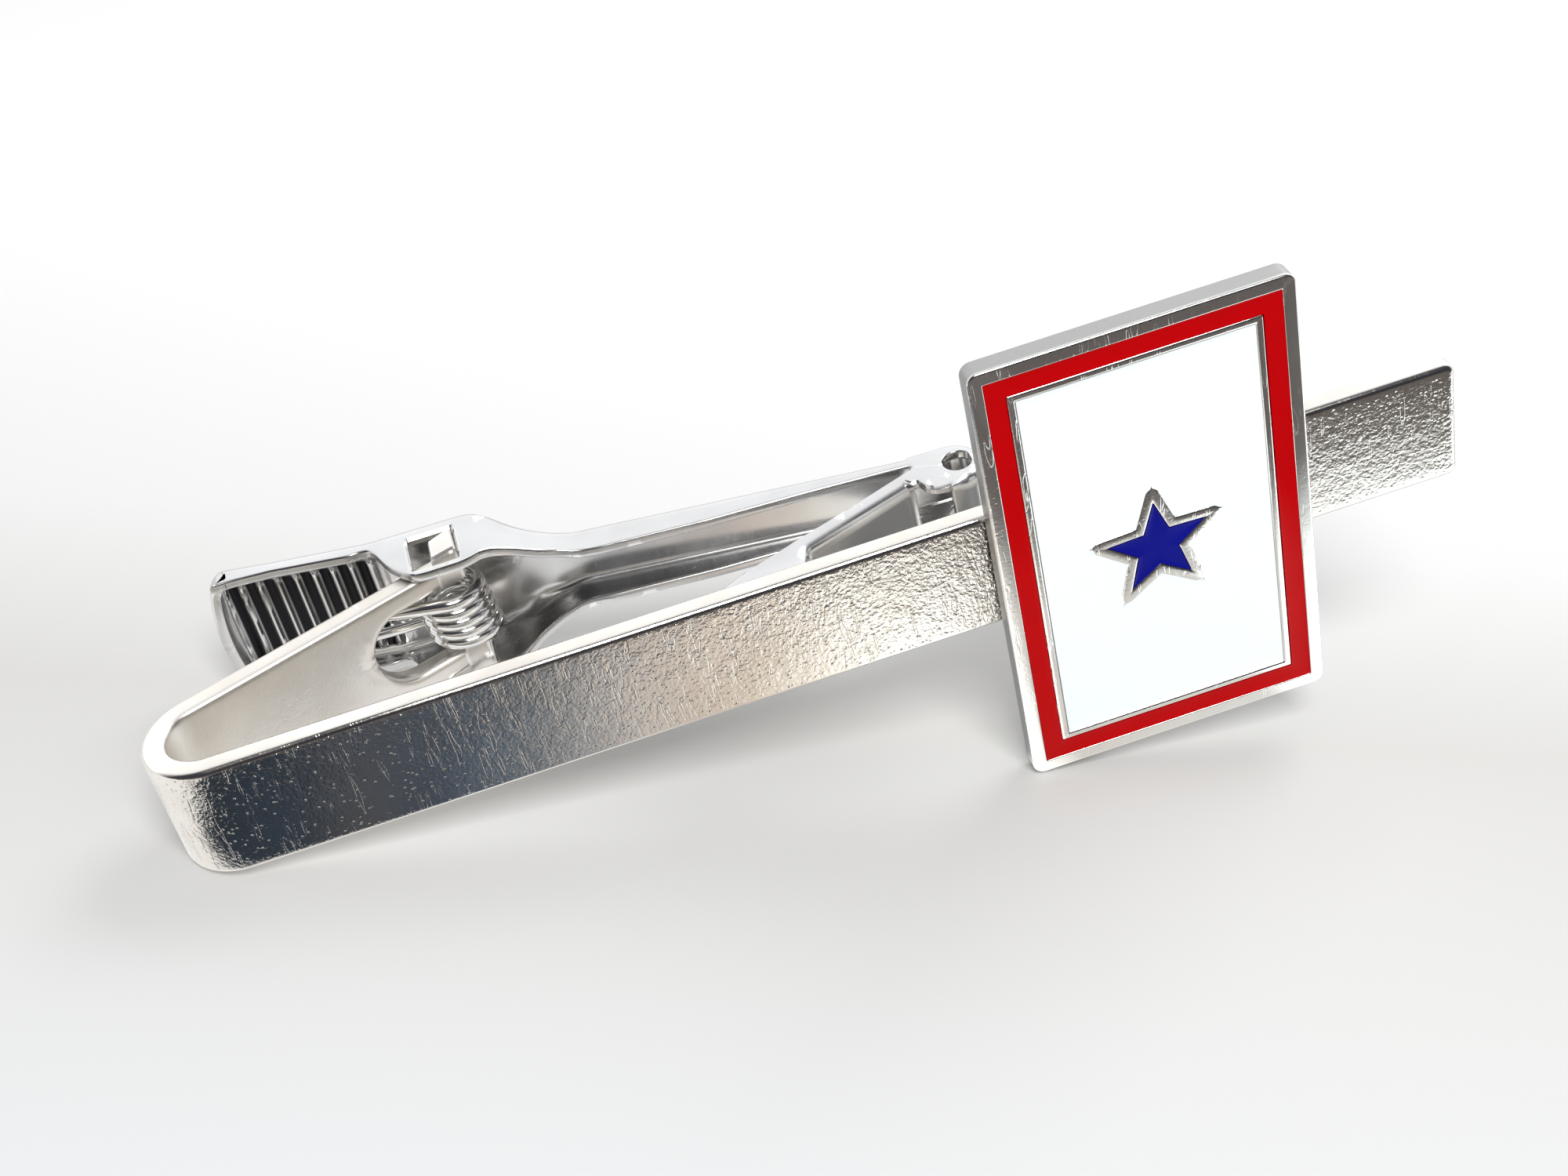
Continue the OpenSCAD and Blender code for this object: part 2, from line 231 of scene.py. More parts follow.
def strip_path(run):
    """The middle line from the open end: straight, then a circle about the bend's centre, then
    straight again at the arm's angle, with the outward direction at each point."""
    run = np.asarray(run, float)
    flat = np.stack([bar_l - run, np.full_like(run, sheet_t / 2)], -1)
    angle = -np.pi / 2 - np.clip(run - straight, 0, bend) / middle_r
    spoke = np.stack([np.cos(angle), np.sin(angle)], -1)
    round_part = bend_c + middle_r * spoke
    onward = np.clip(run - straight - bend, 0, None)[:, None]
    rise = np.array([np.cos(arm_angle), np.sin(arm_angle)])
    xy = np.where((run < straight)[:, None], flat, round_part + onward * rise)
    out = np.where((run < straight)[:, None], np.array([0.0, -1.0]), spoke)
    return xy, out


print(f"strip: {straight:.1f} mm of bar, {bend:.1f} mm of bend and {arm:.1f} mm of arm")

# %% The strip's outline and its skins
slot_half = 1.7
slot_start = strip_run - 4.25
end_r = 0.45
roll = 0.3


def strip_outline(run):
    """Inner and outer half widths at a distance along: the open end's corners and the slot's
    closed end are quarter and half circles."""
    corner = np.clip(end_r - run, 0, end_r)
    outer = strip_w / 2 - end_r + np.sqrt(end_r ** 2 - corner ** 2)
    into = np.clip(run - slot_start, 0, slot_half)
    inner = np.sqrt(np.clip(slot_half ** 2 - (slot_half - into) ** 2, 0, None))
    return inner, outer


def strip_grid():
    at = np.concatenate([
        end_r * (1 - np.cos(np.linspace(0, np.pi / 2, 9)))[:-1],
        np.linspace(end_r, straight, 90)[:-1],
        straight + np.linspace(0, bend, 72)[:-1],
        np.linspace(straight + bend, slot_start, 20)[:-1],
        slot_start + slot_half * (1 - np.cos(np.linspace(0, np.pi / 2, 14)))[:-1],
        np.linspace(slot_start + slot_half, strip_run - roll, 12)[:-1],
        strip_run - roll * np.cos(np.linspace(0, np.pi / 2, 6)),
    ])
    inner, outer = strip_outline(at)
    prong = np.array([0, .04, .12, .22, .34, .5, .66, .8, .88, .913, .9455, .971, .989, 1.0])
    height = np.concatenate([
        -(inner[:, None] + (outer - inner)[:, None] * prong[::-1]),
        np.zeros((len(at), 1)),
        inner[:, None] + (outer - inner)[:, None] * prong,
    ], 1)
    xy, out = strip_path(at)
    cols = height.shape[1]
    run = np.repeat(at[:, None], cols, 1)
    middle = np.stack([np.repeat(xy[:, :1], cols, 1), np.repeat(xy[:, 1:], cols, 1), height], -1)
    outward = np.stack([np.repeat(out[:, :1], cols, 1), np.repeat(out[:, 1:], cols, 1),
                        np.zeros_like(height)], -1)
    tall = np.abs(height)
    corner = end_r - np.hypot(np.clip(end_r - run, 0, None),
                              np.clip(tall - (strip_w / 2 - end_r), 0, None))
    edge = np.minimum(strip_w / 2 - tall, np.minimum(run, strip_run - run))
    edge = np.where((run < end_r) & (tall > strip_w / 2 - end_r), corner, edge)
    past = run - (slot_start + slot_half)
    to_slot = np.where(past < 0, np.hypot(past, tall) - slot_half, tall - slot_half)
    edge = np.where(run > slot_start - 2, np.minimum(edge, to_slot), edge)
    edge[:, 0] = edge[:, -1] = 0
    edge[0] = edge[-1] = 0
    in_slot = np.zeros((len(at) - 1, cols - 1), bool)
    half = len(prong)
    in_slot[:, half - 1:half + 1] = (at[1:] > slot_start + 1e-6)[:, None]
    slot_rows = at > slot_start - 1e-6
    edge[slot_rows, half - 1] = edge[slot_rows, half + 1] = 0
    return sheet(middle, outward, np.clip(edge, 0, None), ~in_slot, sheet_t, roll)


strip_points, strip_faces = strip_grid()

# %% [markdown]
# The prongs end in two upturned ears, whose outer halves, the lugs, stand in the lever's windows
# and carry it. Each ear is a small block: a sheet again, seen from above, as thick as it is tall.

# %% The ears
def block(corners, low, high, roll):
    """A block over a four-sided plan, from low to high: the plan is the two-way blend of its four
    corners, and the distance to its sides rolls the top and bottom edges."""
    a, b, c, d = (np.asarray(p, float) for p in corners)
    t = np.array([0, .06, .15, .3, .5, .7, .85, .94, 1.0])
    u, v = (g[..., None] for g in np.meshgrid(t, t, indexing="ij"))
    plan = a * (1 - u) * (1 - v) + b * u * (1 - v) + c * u * v + d * (1 - u) * v
    sides = [(a, b), (b, c), (c, d), (d, a)]
    far = np.full(plan.shape[:2], 1e9)
    for p, q in sides:
        way = (q - p) / np.linalg.norm(q - p)
        far = np.minimum(far, np.abs((plan[..., 0] - p[0]) * way[1] - (plan[..., 1] - p[1]) * way[0]))
    far[0] = far[-1] = 0
    far[:, 0] = far[:, -1] = 0
    middle = np.concatenate([plan, np.full(plan.shape[:2] + (1,), (low + high) / 2)], -1)
    outward = np.zeros_like(middle)
    outward[..., 2] = 1
    return sheet(middle, outward, far, np.ones((len(t) - 1, len(t) - 1), bool), high - low, roll)


ear_plan = [(13.16, 8.27), (14.29, 8.66), (14.26, 10.2), (13.2, 9.62)]
parts = [(strip_points, strip_faces)]
parts += [block(ear_plan, 1.66, 3.48, 0.16), block(ear_plan, -3.48, -1.66, 0.16)]


def together(parts):
    """Several lists of points and faces as one."""
    starts = np.cumsum([0] + [len(p) for p, _ in parts[:-1]])
    return (np.concatenate([p for p, _ in parts]),
            np.concatenate([f + s for (_, f), s in zip(parts, starts)]))


points, faces = together(parts)
bar = shell("bar_and_arm", in_frame(points), faces, "frame", sharp=32)
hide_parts("clip_strip")

# %% [markdown]
# ## The lever
#
# The lever is one pressing: a ribbed thumb pad with a turned lip, a deep middle with windows for
# the lugs, a narrow nose that rolls round at its end, and a leg that comes back under it to the
# jaw's flat sole. Its web follows one line all the way round, and its flanges stand in from that
# line. So it is a sheet over (distance along that line, distance across), where the across goes
# up one flange, round a bend, over the web, and down the other flange.

# %% The line of the web
lever_t = 0.45
thumb_x, thumb_drop = 3.1, np.tan(np.radians(12))
thumb_y = (lever_high[1] - BASE[1]) / MM - 0.15
ears_x, ears_y, past_x, past_y = 10.7, 11.735, 15.2, 11.58
neck_x, neck_y = 18.35, 10.35
notch_x, notch_y, nose_back = 33.7, 6.66, 7.62
nose_r = 1.5
nose_c = np.array([35.22, 5.98])
heel_x, toe_x, sole_y = 27.8, 22.62, sheet_t + 0.05
leg_slope = np.tan(np.radians(21.8))

web_corners = [
    (thumb_x, 11.75), (thumb_x, 13.34), (ears_x, ears_y), (past_x, past_y), (neck_x, neck_y),
    (notch_x, nose_back), (nose_c[0] + nose_r, nose_c[1] + nose_r + 0.02),
    (nose_c[0] + nose_r, nose_c[1] - nose_r), (33.95, nose_c[1] - nose_r),
    (33.62, 5.5), (28.08, 3.27), (heel_x, sole_y), (toe_x, sole_y)]
web_radii = [0, 0.72, 3.0, 3.2, 3.4, 4.0, nose_r * 0.97, nose_r * 0.97, 0.75, 0.22, 0.5, 0.42, 0]
web_line, web_run = walk(web_corners, web_radii, 0.12)


def run_at(x, y):
    """The distance along the web's line of the point on it nearest to (x, y)."""
    return web_run[np.argmin((web_line[:, 0] - x) ** 2 + (web_line[:, 1] - y) ** 2)]


print(f"web line: {web_run[-1]:.1f} mm round, from the lip to the toe of the sole")

# %% [markdown]
# The front edge of the flanges is a second line. Up to the notch it lies straight across from the
# web, so it is a height for each place along; after the notch it runs round the hole in the nose
# and back along the leg, and the two lines are matched at a few stations.

# %% The edge of the flanges
edge_x = [3.1, 4.2, 6.3, 9.3, 9.75, 10.2, 10.75, 10.95, 11.2, 11.6, 12.0, 12.35, 12.8, 14.3, 14.9,
          15.6, 16.6, 18.4, 20.0, 24.7, 28.9, 33.6]
edge_y = [11.68, 11.66, 11.45, 10.78, 10.66, 10.72, 10.6, 10.1, 9.2, 8.55, 8.0, 7.72, 7.64, 7.62,
          7.78, 8.1, 8.38, 8.42, 8.05, 7.48, 7.18, 6.72]


def flange_front(x):
    """The front edge before the notch: the edge's stations, eased by a short running mean."""
    x = np.asarray(x, float)
    return sum(np.interp(x + d, edge_x, edge_y) for d in (-0.2, -0.1, 0, 0.1, 0.2)) / 5


hole_r = 0.66
lip_end = run_at(thumb_x + 0.75, 13.15)
notch_run = run_at(notch_x, nose_back)
top_run = run_at(nose_c[0], nose_c[1] + nose_r)
low_run = run_at(nose_c[0] - 0.1, nose_c[1] - nose_r)
leg_run = run_at(33.62, 5.5)
heel_run, knee_run = run_at(28.1, 3.3), run_at(28.0, 2.6)
toe_run = web_run[-1]
tip = np.array([notch_x, notch_y - 0.13])
hole_c = nose_c + np.array([0.35, 0.0])
inner_hole = hole_c - np.array([hole_r, 0])


def leg_back(x):
    """The back edge of the leg's flanges."""
    return 6.47 - (notch_x - x) * leg_slope


def flange_edge(run, xy):
    """Where the flange ends, for each distance along the web's line."""
    out = np.stack([xy[:, 0], flange_front(xy[:, 0])], -1)
    first = run < lip_end
    out[first, 0] = np.interp(run[first], [0, lip_end], [thumb_x + 0.02, thumb_x + 0.75])
    out[first, 1] = flange_front(out[first, 0])
    turn = np.interp(run, [notch_run, top_run - 0.4, top_run, low_run, low_run + 0.5, leg_run],
                     [180, 180, 90, -90, -180, -180])
    round_hole = hole_c + hole_r * np.stack([np.cos(np.radians(turn)), np.sin(np.radians(turn))], -1)
    seam_in = np.clip((run - notch_run) / (top_run - 0.4 - notch_run), 0, 1)[:, None]
    seam_out = np.clip((leg_run - run) / (leg_run - low_run - 0.5), 0, 1)[:, None]
    nose = np.where(seam_in < 1, tip + (inner_hole - tip) * seam_in, round_hole)
    nose = np.where(run[:, None] > low_run + 0.5, tip + (inner_hole - tip) * seam_out, nose)
    out = np.where((run > notch_run)[:, None], nose, out)
    on_leg = run > leg_run
    x = np.interp(run, [leg_run, heel_run, knee_run, toe_run], [notch_x, 27.3, 25.9, toe_x + 0.05])
    y = np.where(x > 25.5, leg_back(x), sole_y + lever_t + 0.02 + (x - toe_x) * 0.57)
    y = np.where(x > 25.5, y, np.minimum(y, leg_back(x)))
    return np.where(on_leg[:, None], np.stack([x, y], -1), out)


# %% [markdown]
# Across the lever, the half width is 3.3 mm at the thumb and 1.55 mm along the nose, and an easing
# curve joins them: that gives the spoon-shaped shoulder. The web's bends are wide there too, as
# the press leaves them. Ribs are a wave in the pad, faded out before they reach the bends.

# %% Half width, bends and ribs
wide, narrow = 3.3, 1.55


def half_width(x, run):
    """Wide up to the ears, eased to narrow at the neck."""
    w = wide + (narrow - wide) * smooth_step(x, 15.2, 19.6)
    return np.where(run > notch_run, narrow, w) - lever_t / 2


def bend_radius(x, run):
    """The bend between web and flange: tight, easier at the shoulder, least on the jaw."""
    r = 0.62 + 0.55 * np.exp(-((x - 17.0) / 1.1) ** 2) - 0.1 * smooth_step(x, 18, 20)
    return np.where(run > notch_run, 0.34, r)


rib_pitch, first_rib = 0.82, 3.95


def rib_wave(x, z):
    """Nine ribs standing into the pad, each a rounded ridge, faded out towards the sides."""
    phase = (x - first_rib) / rib_pitch
    ridge = np.exp(-((phase - np.round(phase)) / 0.19) ** 2)
    fade = smooth_step(x, 3.75, 4.1) * (1 - smooth_step(x, 10.95, 11.2))
    return 0.3 * ridge * fade * (1 - smooth_step(np.abs(z), 2.25, 2.5))


# %% Stations along the lever
bare_end = run_at(32.0, 4.9)
window_x, window_y = (12.35, 14.36), (8.15, 10.42)


def lever_stations():
    """Distances along the web's line, close at the ribs and round the nose, with two of them moved
    on to the windows' sides; and the line's points and directions there."""
    run = np.concatenate([
        np.linspace(0, lip_end, 22)[:-1], np.linspace(lip_end, notch_run, 330),
        np.linspace(notch_run, top_run, 26)[1:], np.linspace(top_run, low_run, 60)[1:],
        np.linspace(low_run, leg_run, 34)[1:], np.linspace(leg_run, toe_run, 120)[1:]])
    xy, _ = resample(web_line, web_run, run)
    x = np.where(run < notch_run, xy[:, 0], 99)
    for side in window_x:
        i = np.argmin(np.abs(x - side))
        run[i] += side - x[i]
    return run, *resample(web_line, web_run, run)


lever_run, lever_xy, lever_way = lever_stations()
before_notch = lever_run <= notch_run
print(len(lever_run), "stations along the lever")

# %% [markdown]
# Each station has a heel, where the flange meets the bend, and a rim, where the flange ends. The
# flange is divided into three bands between them, and near the windows the middle band is level
# with the window, so that leaving out its quads cuts a clean hole. Under the nose the web stops
# short, which leaves the flanges bare.

# %% Heel, rim and flange
def lever_heel():
    """The inward direction, the share to which the flanges are bare, the middle of the web, the
    half width, the bend's radius and the heel, at each station."""
    inward = np.stack([lever_way[:, 1], -lever_way[:, 0]], -1)
    bare = smooth_step(lever_run, low_run - 0.5, low_run + 0.5)
    bare = bare * (1 - smooth_step(lever_run, bare_end, bare_end + 0.2))
    line = lever_xy + inward * (lever_t / 2) * (1 - bare)[:, None]
    w = half_width(lever_xy[:, 0], lever_run)
    r = bend_radius(lever_xy[:, 0], lever_run) * (1 - bare) + 0.002 * bare
    return inward, bare, line, w, r, line + inward * r[:, None]


def lever_rim(heel):
    """The flange's end at each station, straight across from the heel between lip and notch."""
    rim = flange_edge(lever_run, lever_xy)
    across = (before_notch & (lever_run > lip_end))[:, None]
    return np.where(across, np.stack([heel[:, 0], flange_front(heel[:, 0])], -1), rim)


def flange_shares(heel, rim):
    """How far each of the flange's columns lies from the rim (1) to the heel (0), in three bands."""
    beside = np.clip(np.abs(lever_xy[:, 0] - 13.35) - 1.35, 0, None)
    near = np.exp(-(beside / 0.5) ** 2) * before_notch
    total = np.where(before_notch, heel[:, 1] - rim[:, 1], 1.0)
    top = np.clip((heel[:, 1] - window_y[1]) / total, 0.02, 0.9)
    low = np.clip((heel[:, 1] - window_y[0]) / total, 0.1, 0.97)
    top = (0.3 + (top - 0.3) * near)[:, None]
    low = (0.85 + (low - 0.85) * near)[:, None]
    a, b, c = bands
    return np.concatenate([top * a, top + (low - top) * b, low + (1 - low) * c], 1)[:, ::-1]


bands = [np.linspace(0, 1, 4)[:-1], np.linspace(0, 1, 7)[:-1], np.array([0, .35, .7, .88, 1.0])]
inward, bare, line, half_w, bend_r_at, heel = lever_heel()
rim = lever_rim(heel)
side = heel[:, None] + (rim - heel)[:, None] * flange_shares(heel, rim)[..., None]
flank = side.shape[1]
print(f"flange: {flank} columns, up to {np.linalg.norm(rim - heel, axis=1).max():.2f} mm deep")

# %% [markdown]
# The section runs up one flange, round the bend, over the web, round the other bend and down. The
# thumb end is bowed in plan, and the ribs are pressed into the web only.

# %% The lever's middle surface
def lever_surface():
    """Points and outward directions. A bend's point at turn a is the heel less r*sin(a) inward, at
    height w - r + r*cos(a), and its outward side turns from up to away from the web."""
    rows = len(lever_run)
    r, w = bend_r_at[:, None], half_w[:, None]
    turns = np.linspace(0, np.pi / 2, 9)[1:-1]
    c, s = np.cos(turns), np.sin(turns)
    web_share = np.linspace(1, -1, 33)
    arc = heel[:, None] - inward[:, None] * (r * s)[..., None]
    web = np.repeat(line[:, None], len(web_share), 1)
    flat = np.concatenate([side, arc, web, arc[:, ::-1], side[:, ::-1]], 1)
    upper = np.concatenate([np.repeat(w, flank, 1), w - r + r * c], 1)
    z = np.concatenate([upper, (w - r) * web_share, -upper[:, ::-1]], 1)
    bend_out = np.concatenate([-inward[:, None] * s[:, None], np.repeat(c[None, :, None], rows, 0)], -1)
    flank_out = np.broadcast_to([0.0, 0.0, 1.0], (rows, flank, 3))
    web_out = np.repeat(np.pad(-inward, ((0, 0), (0, 1)))[:, None], len(web_share), 1)
    upper = np.concatenate([flank_out, bend_out], 1)
    return flat, z, np.concatenate([upper, web_out, upper[:, ::-1] * [1, 1, -1]], 1)


def bowed_and_ribbed(flat, z):
    """The surface with its thumb end bowed by r - sqrt(r^2 - z^2) and with the ribs in its web."""
    front = (lever_run < notch_run)[:, None]
    bow = 0.55
    bow_r = (wide ** 2 + bow ** 2) / (2 * bow)
    near_lip = 1 - smooth_step(flat[..., 0], thumb_x + 0.2, 7.0)
    x = flat[..., 0] + (bow_r - np.sqrt(bow_r ** 2 - z ** 2)) * near_lip * front
    on_web = np.pad(np.ones(z.shape[1] - 2 * flank), flank)
    return np.stack([x, flat[..., 1] - rib_wave(x, z) * on_web * front, z], -1)


# %% [markdown]
# The cut edges are the rims, the windows' sides, the lip, the toe, and the flanges' upper edge
# where they are bare. At the nose, rim meets rim in a seam, and nothing is rolled there.

# %% The lever's cut edges
def at_seam():
    """Stations where the rim lies against the rim of another part of the nose."""
    going = (lever_run > notch_run + 0.05) & (lever_run < top_run - 0.4)
    coming = (lever_run > low_run + 0.5) & (lever_run < leg_run - 0.05)
    return going | coming


def flange_gap():
    """Each flange point's distance from the nearest cut edge."""
    gap = np.linalg.norm(side - rim[:, None], axis=-1)
    slope = np.gradient(rim[:, 1], rim[:, 0] + np.arange(len(rim)) * 1e-9)
    lean = np.where(before_notch, 1 / np.sqrt(1 + np.clip(slope, -3, 3) ** 2), 1)
    lean = np.where(lever_run > leg_run, 0.8, lean)
    gap = gap * lean[:, None] + (at_seam()[:, None] & (gap > 1e-3))
    x, y = lever_xy[:, :1], side[..., 1]
    beside = np.broadcast_to(np.maximum(window_x[0] - x, x - window_x[1]), y.shape)
    beyond = np.maximum(window_y[0] - y, y - window_y[1])
    to_window = np.hypot(np.clip(beside, 0, None), np.clip(beyond, 0, None))
    to_window = np.where(before_notch[:, None], to_window, 9)
    gap = np.minimum(gap, np.where((beside > 1e-3) | (beyond > 1e-3), to_window, 0))
    from_web = np.abs(np.einsum("rck,rk->rc", side - lever_xy[:, None], inward))
    return np.where(bare[:, None] > 0.5, np.minimum(gap, from_web), gap)


def lever_grid():
    """The lever's skins: its surface, the distances to its cut edges, and the quads that exist."""
    flat, z, outward = lever_surface()
    far = np.full(z.shape, 9.0)
    far[:, :flank] = flange_gap()
    far[:, -flank:] = far[:, flank - 1::-1]
    far = np.minimum(far, np.minimum(lever_run, toe_run - lever_run)[:, None])
    far[far < 2e-3] = 0
    keep = np.ones((z.shape[0] - 1, z.shape[1] - 1), bool)
    run = (lever_run[1:] + lever_run[:-1]) / 2
    naked = (run > low_run + 0.5) & (run < bare_end)
    keep[naked, flank - 1:-flank + 1] = False
    first, last = np.flatnonzero(naked)[0], np.flatnonzero(naked)[-1] + 1
    far[first:last + 1, flank - 1] = far[first:last + 1, -flank] = 0
    far[[first, last], flank - 1:-flank + 1] = 0
    x = (lever_xy[1:, 0] + lever_xy[:-1, 0]) / 2
    in_window = (x > window_x[0]) & (x < window_x[1]) & (run < notch_run)
    start = len(bands[2]) - 1
    end = start + len(bands[1])
    keep[in_window, start:end] = keep[in_window, -end:-start] = False
    flush = np.zeros(far.shape, bool)
    flush[:, 0] = flush[:, -1] = at_seam()
    return sheet(bowed_and_ribbed(flat, z), outward, far, keep, lever_t, 0.12, flush)


points, faces = lever_grid()
lever = shell("sprung_lever", in_frame(points), faces, "lever", sharp=38)
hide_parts("spring_lever")

# %% [markdown]
# ## The spring
#
# The CAD stands closed rings in for the coil. Here the wire is what it is: one line that comes
# from the thumb pad, winds down the coil, and leaves through the slot to press on the arm. A curve
# object with a round bevel would do it too; a tube worked out along the line keeps it a mesh.

# %% The wire
wire_d, coil_r = 0.6, 1.35
coil_c = np.array([13.5, 9.22])


def spring_line():
    """Straight leg, five turns and a part of a helix about a leaning axis, straight leg."""
    to_arm = np.array([10.36, 8.71]) - coil_c
    to_pad = np.array([9.69, 10.84]) - coil_c
    heading_arm = np.arctan2(to_arm[1], to_arm[0]) - np.arcsin(coil_r / np.linalg.norm(to_arm))
    heading_pad = np.arctan2(to_pad[1], to_pad[0]) + np.arcsin(coil_r / np.linalg.norm(to_pad))
    first, last = heading_pad - np.pi / 2, heading_arm + np.pi / 2
    last -= 2 * np.pi * (5 + np.ceil((last - first) / (2 * np.pi)) - 1)
    t = np.linspace(0, 1, 220)
    angle = first + (last - first) * t
    z = -1.2 + 2.4 * t
    lean = 0.12 * z
    coil = np.stack([coil_c[0] + coil_r * np.cos(angle) - lean, coil_c[1] + coil_r * np.sin(angle), z], -1)
    u = np.linspace(0, 1, 24)[:, None]
    pad_l, arm_l = (np.sqrt(way @ way - coil_r ** 2) + 1.5 for way in (to_pad, to_arm))
    pad = coil[0] + (1 - u) * pad_l * np.array([np.cos(heading_pad), np.sin(heading_pad), 0])
    arm_leg = coil[-1] + u * arm_l * np.array([np.cos(heading_arm), np.sin(heading_arm), 0])
    return np.concatenate([pad[:-1], coil, arm_leg[1:]])


def tube(line, radius, around=20):
    """A circle carried along a line on two directions square to it, closed by rounded ends: the
    radius falls to nothing over the last stations as sqrt(1 - t^2)."""
    way = np.gradient(line, axis=0)
    way /= np.linalg.norm(way, axis=1, keepdims=True)
    up = np.cross(way, np.cross(np.array([0.0, 0.0, 1.0]), way))
    up /= np.linalg.norm(up, axis=1, keepdims=True)
    side = np.cross(way, up)
    cap = np.linspace(0, np.pi / 2, 6)[:-1]
    narrow_end, run_out = np.sin(cap) * radius, np.cos(cap) * radius * 0.6
    size = np.concatenate([narrow_end, np.full(len(line), radius), narrow_end[::-1]])
    shift = np.concatenate([-run_out, np.zeros(len(line)), run_out[::-1]])
    pad_rows = (len(cap), len(cap))
    line, way, up, side = (np.pad(a, (pad_rows, (0, 0)), mode="edge") for a in (line, way, up, side))
    turn = np.linspace(0, 2 * np.pi, around, endpoint=False)
    ring = (np.cos(turn)[None, :, None] * up[:, None] + np.sin(turn)[None, :, None] * side[:, None])
    points = (line + way * shift[:, None])[:, None] + ring * size[:, None, None]
    return points.reshape(-1, 3), grid_faces(len(line), around, wrap=True)


points, faces = tube(spring_line(), wire_d / 2)
spring = shell("coil_spring", in_frame(points), faces, None, sharp=60)
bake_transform(spring)
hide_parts("torsion_spring")

# %% [markdown]
# ## The badge
#
# The badge is a struck plate: a rim, a thin wall between the two enamels, and a wall round the
# star, with pockets between them. Rim and walls are drawn as a profile carried round a rectangle
# with small round corners. Letting the profile run from the middle of the back, over the edge and
# down into the pocket closes the plate with no cap of its own.

# %% A profile round a rectangle
badge_x, badge_z = badge_mid[0], badge_mid[2]
front_y = (badge_low[1] - BASE[1]) / MM
back_y = (badge_high[1] - BASE[1]) / MM
badge_r, rim_w, border_w, line_w = 0.5, 0.6, 0.8, 0.36
pocket, enamel_low = 0.45, 0.05


def round_rectangle(inset, corner, per_corner=8, per_side=14):
    """The outline at each inset, as an array over (inset, way round): four quarter circles whose
    centres move in with the corner radius, and straight sides between them."""
    inset, corner = np.asarray(inset, float)[:, None], np.asarray(corner, float)[:, None]
    a, b = badge_w / 2 - inset, badge_h / 2 - inset
    rows = []
    for k, (sx, sz) in enumerate([(1, 1), (-1, 1), (-1, -1), (1, -1)]):
        angle = np.radians(90 * k + np.linspace(0, 90, per_corner))
        rows.append(np.stack([sx * (a - corner) + corner * np.cos(angle),
                              sz * (b - corner) + corner * np.sin(angle)], -1))
        nx, nz = [(-1, 1), (-1, -1), (1, -1), (1, 1)][k]
        end = rows[-1][:, -1:]
        goal = np.stack([nx * (a - corner) + corner * np.cos(angle[-1]),
                         nz * (b - corner) + corner * np.sin(angle[-1])], -1)
        t = np.linspace(0, 1, per_side + 2)[1:-1][None, :, None]
        rows.append(end + (goal - end) * t)
    return np.concatenate(rows, 1)


def carried_round(profile, close):
    """A profile of (inset, depth below the front) carried round the badge."""
    profile = np.asarray(profile, float)
    inset, depth = profile[:, 0], profile[:, 1]
    plan = round_rectangle(inset, np.clip(badge_r - inset, 0.06, None) * (inset < badge_w / 2 - 0.07))
    y = np.broadcast_to((front_y + depth)[:, None], plan.shape[:2])
    points = np.stack([plan[..., 0] + badge_x, y, plan[..., 1] + badge_z], -1)
    faces = grid_faces(len(profile), plan.shape[1], wrap=True)
    if close:
        n = plan.shape[1]
        a, b = np.arange(n), (np.arange(n) + 1) % n
        last = (len(profile) - 1) * n
        faces = np.concatenate([faces, np.stack([a + last, b + last, b, a], -1)])
    return points.reshape(-1, 3), faces


def quarter(cx, cy, r, start, end, steps=6):
    """Points of an arc of a profile, in degrees."""
    t = np.radians(np.linspace(start, end, steps))
    return list(zip(cx + r * np.cos(t), cy + r * np.sin(t)))


# %% The plate with its rim, and the wall between the enamels
half_w = badge_w / 2
edge_round, chamfer = 0.1, 0.13
plate_profile = ([(half_w, badge_t), (3.0, badge_t), (0.3, badge_t)]
                 + quarter(edge_round, badge_t - edge_round, edge_round, 90, 180)
                 + [(0.0, 0.6), (0.0, chamfer + 0.05)] + quarter(chamfer, chamfer, chamfer, 180, 270)
                 + [(rim_w - 0.12, 0.0)] + quarter(rim_w - 0.06, 0.06, 0.06, 270, 360)
                 + [(rim_w, pocket), (3.0, pocket), (half_w, pocket)])
line_in = rim_w + border_w
line_mid, line_half = line_in + line_w / 2, line_w / 2


def ridge(mid, half, deep, crown=0.13):
    """The profile of a thin wall with a rounded top, from its inner foot to its outer foot."""
    return ([(mid - half, deep)] + quarter(mid - half + crown, crown, crown, 180, 270)
            + quarter(mid + half - crown, crown, crown, 270, 360) + [(mid + half, deep)])


parts = [carried_round(plate_profile, False), carried_round(ridge(line_mid, line_half, pocket + 0.1), True)]
points, faces = together(parts)
plate = shell("badge_plate_struck", in_frame(points), faces, "frame", sharp=35, weld=1e-7)
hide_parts("badge_plate")

# %% [markdown]
# The star is a regular five-pointed one. A point on its outline is given by the place along one
# of its ten straight sides. Moving every side out by w moves the tips out by w over the sine of
# half the tip's angle, so the wall round the star keeps one width, and its tips stay sharp.

# %% The star's wall
star_r, star_ratio, star_line = 2.1, 0.42, 0.32
wall_out = 0.16
star_z = badge_z - (star_r * (1 - np.cos(np.radians(36))) / 2 + 0.15)
tip_half = np.arctan(star_ratio * np.sin(np.radians(36)) / (1 - star_ratio * np.cos(np.radians(36))))


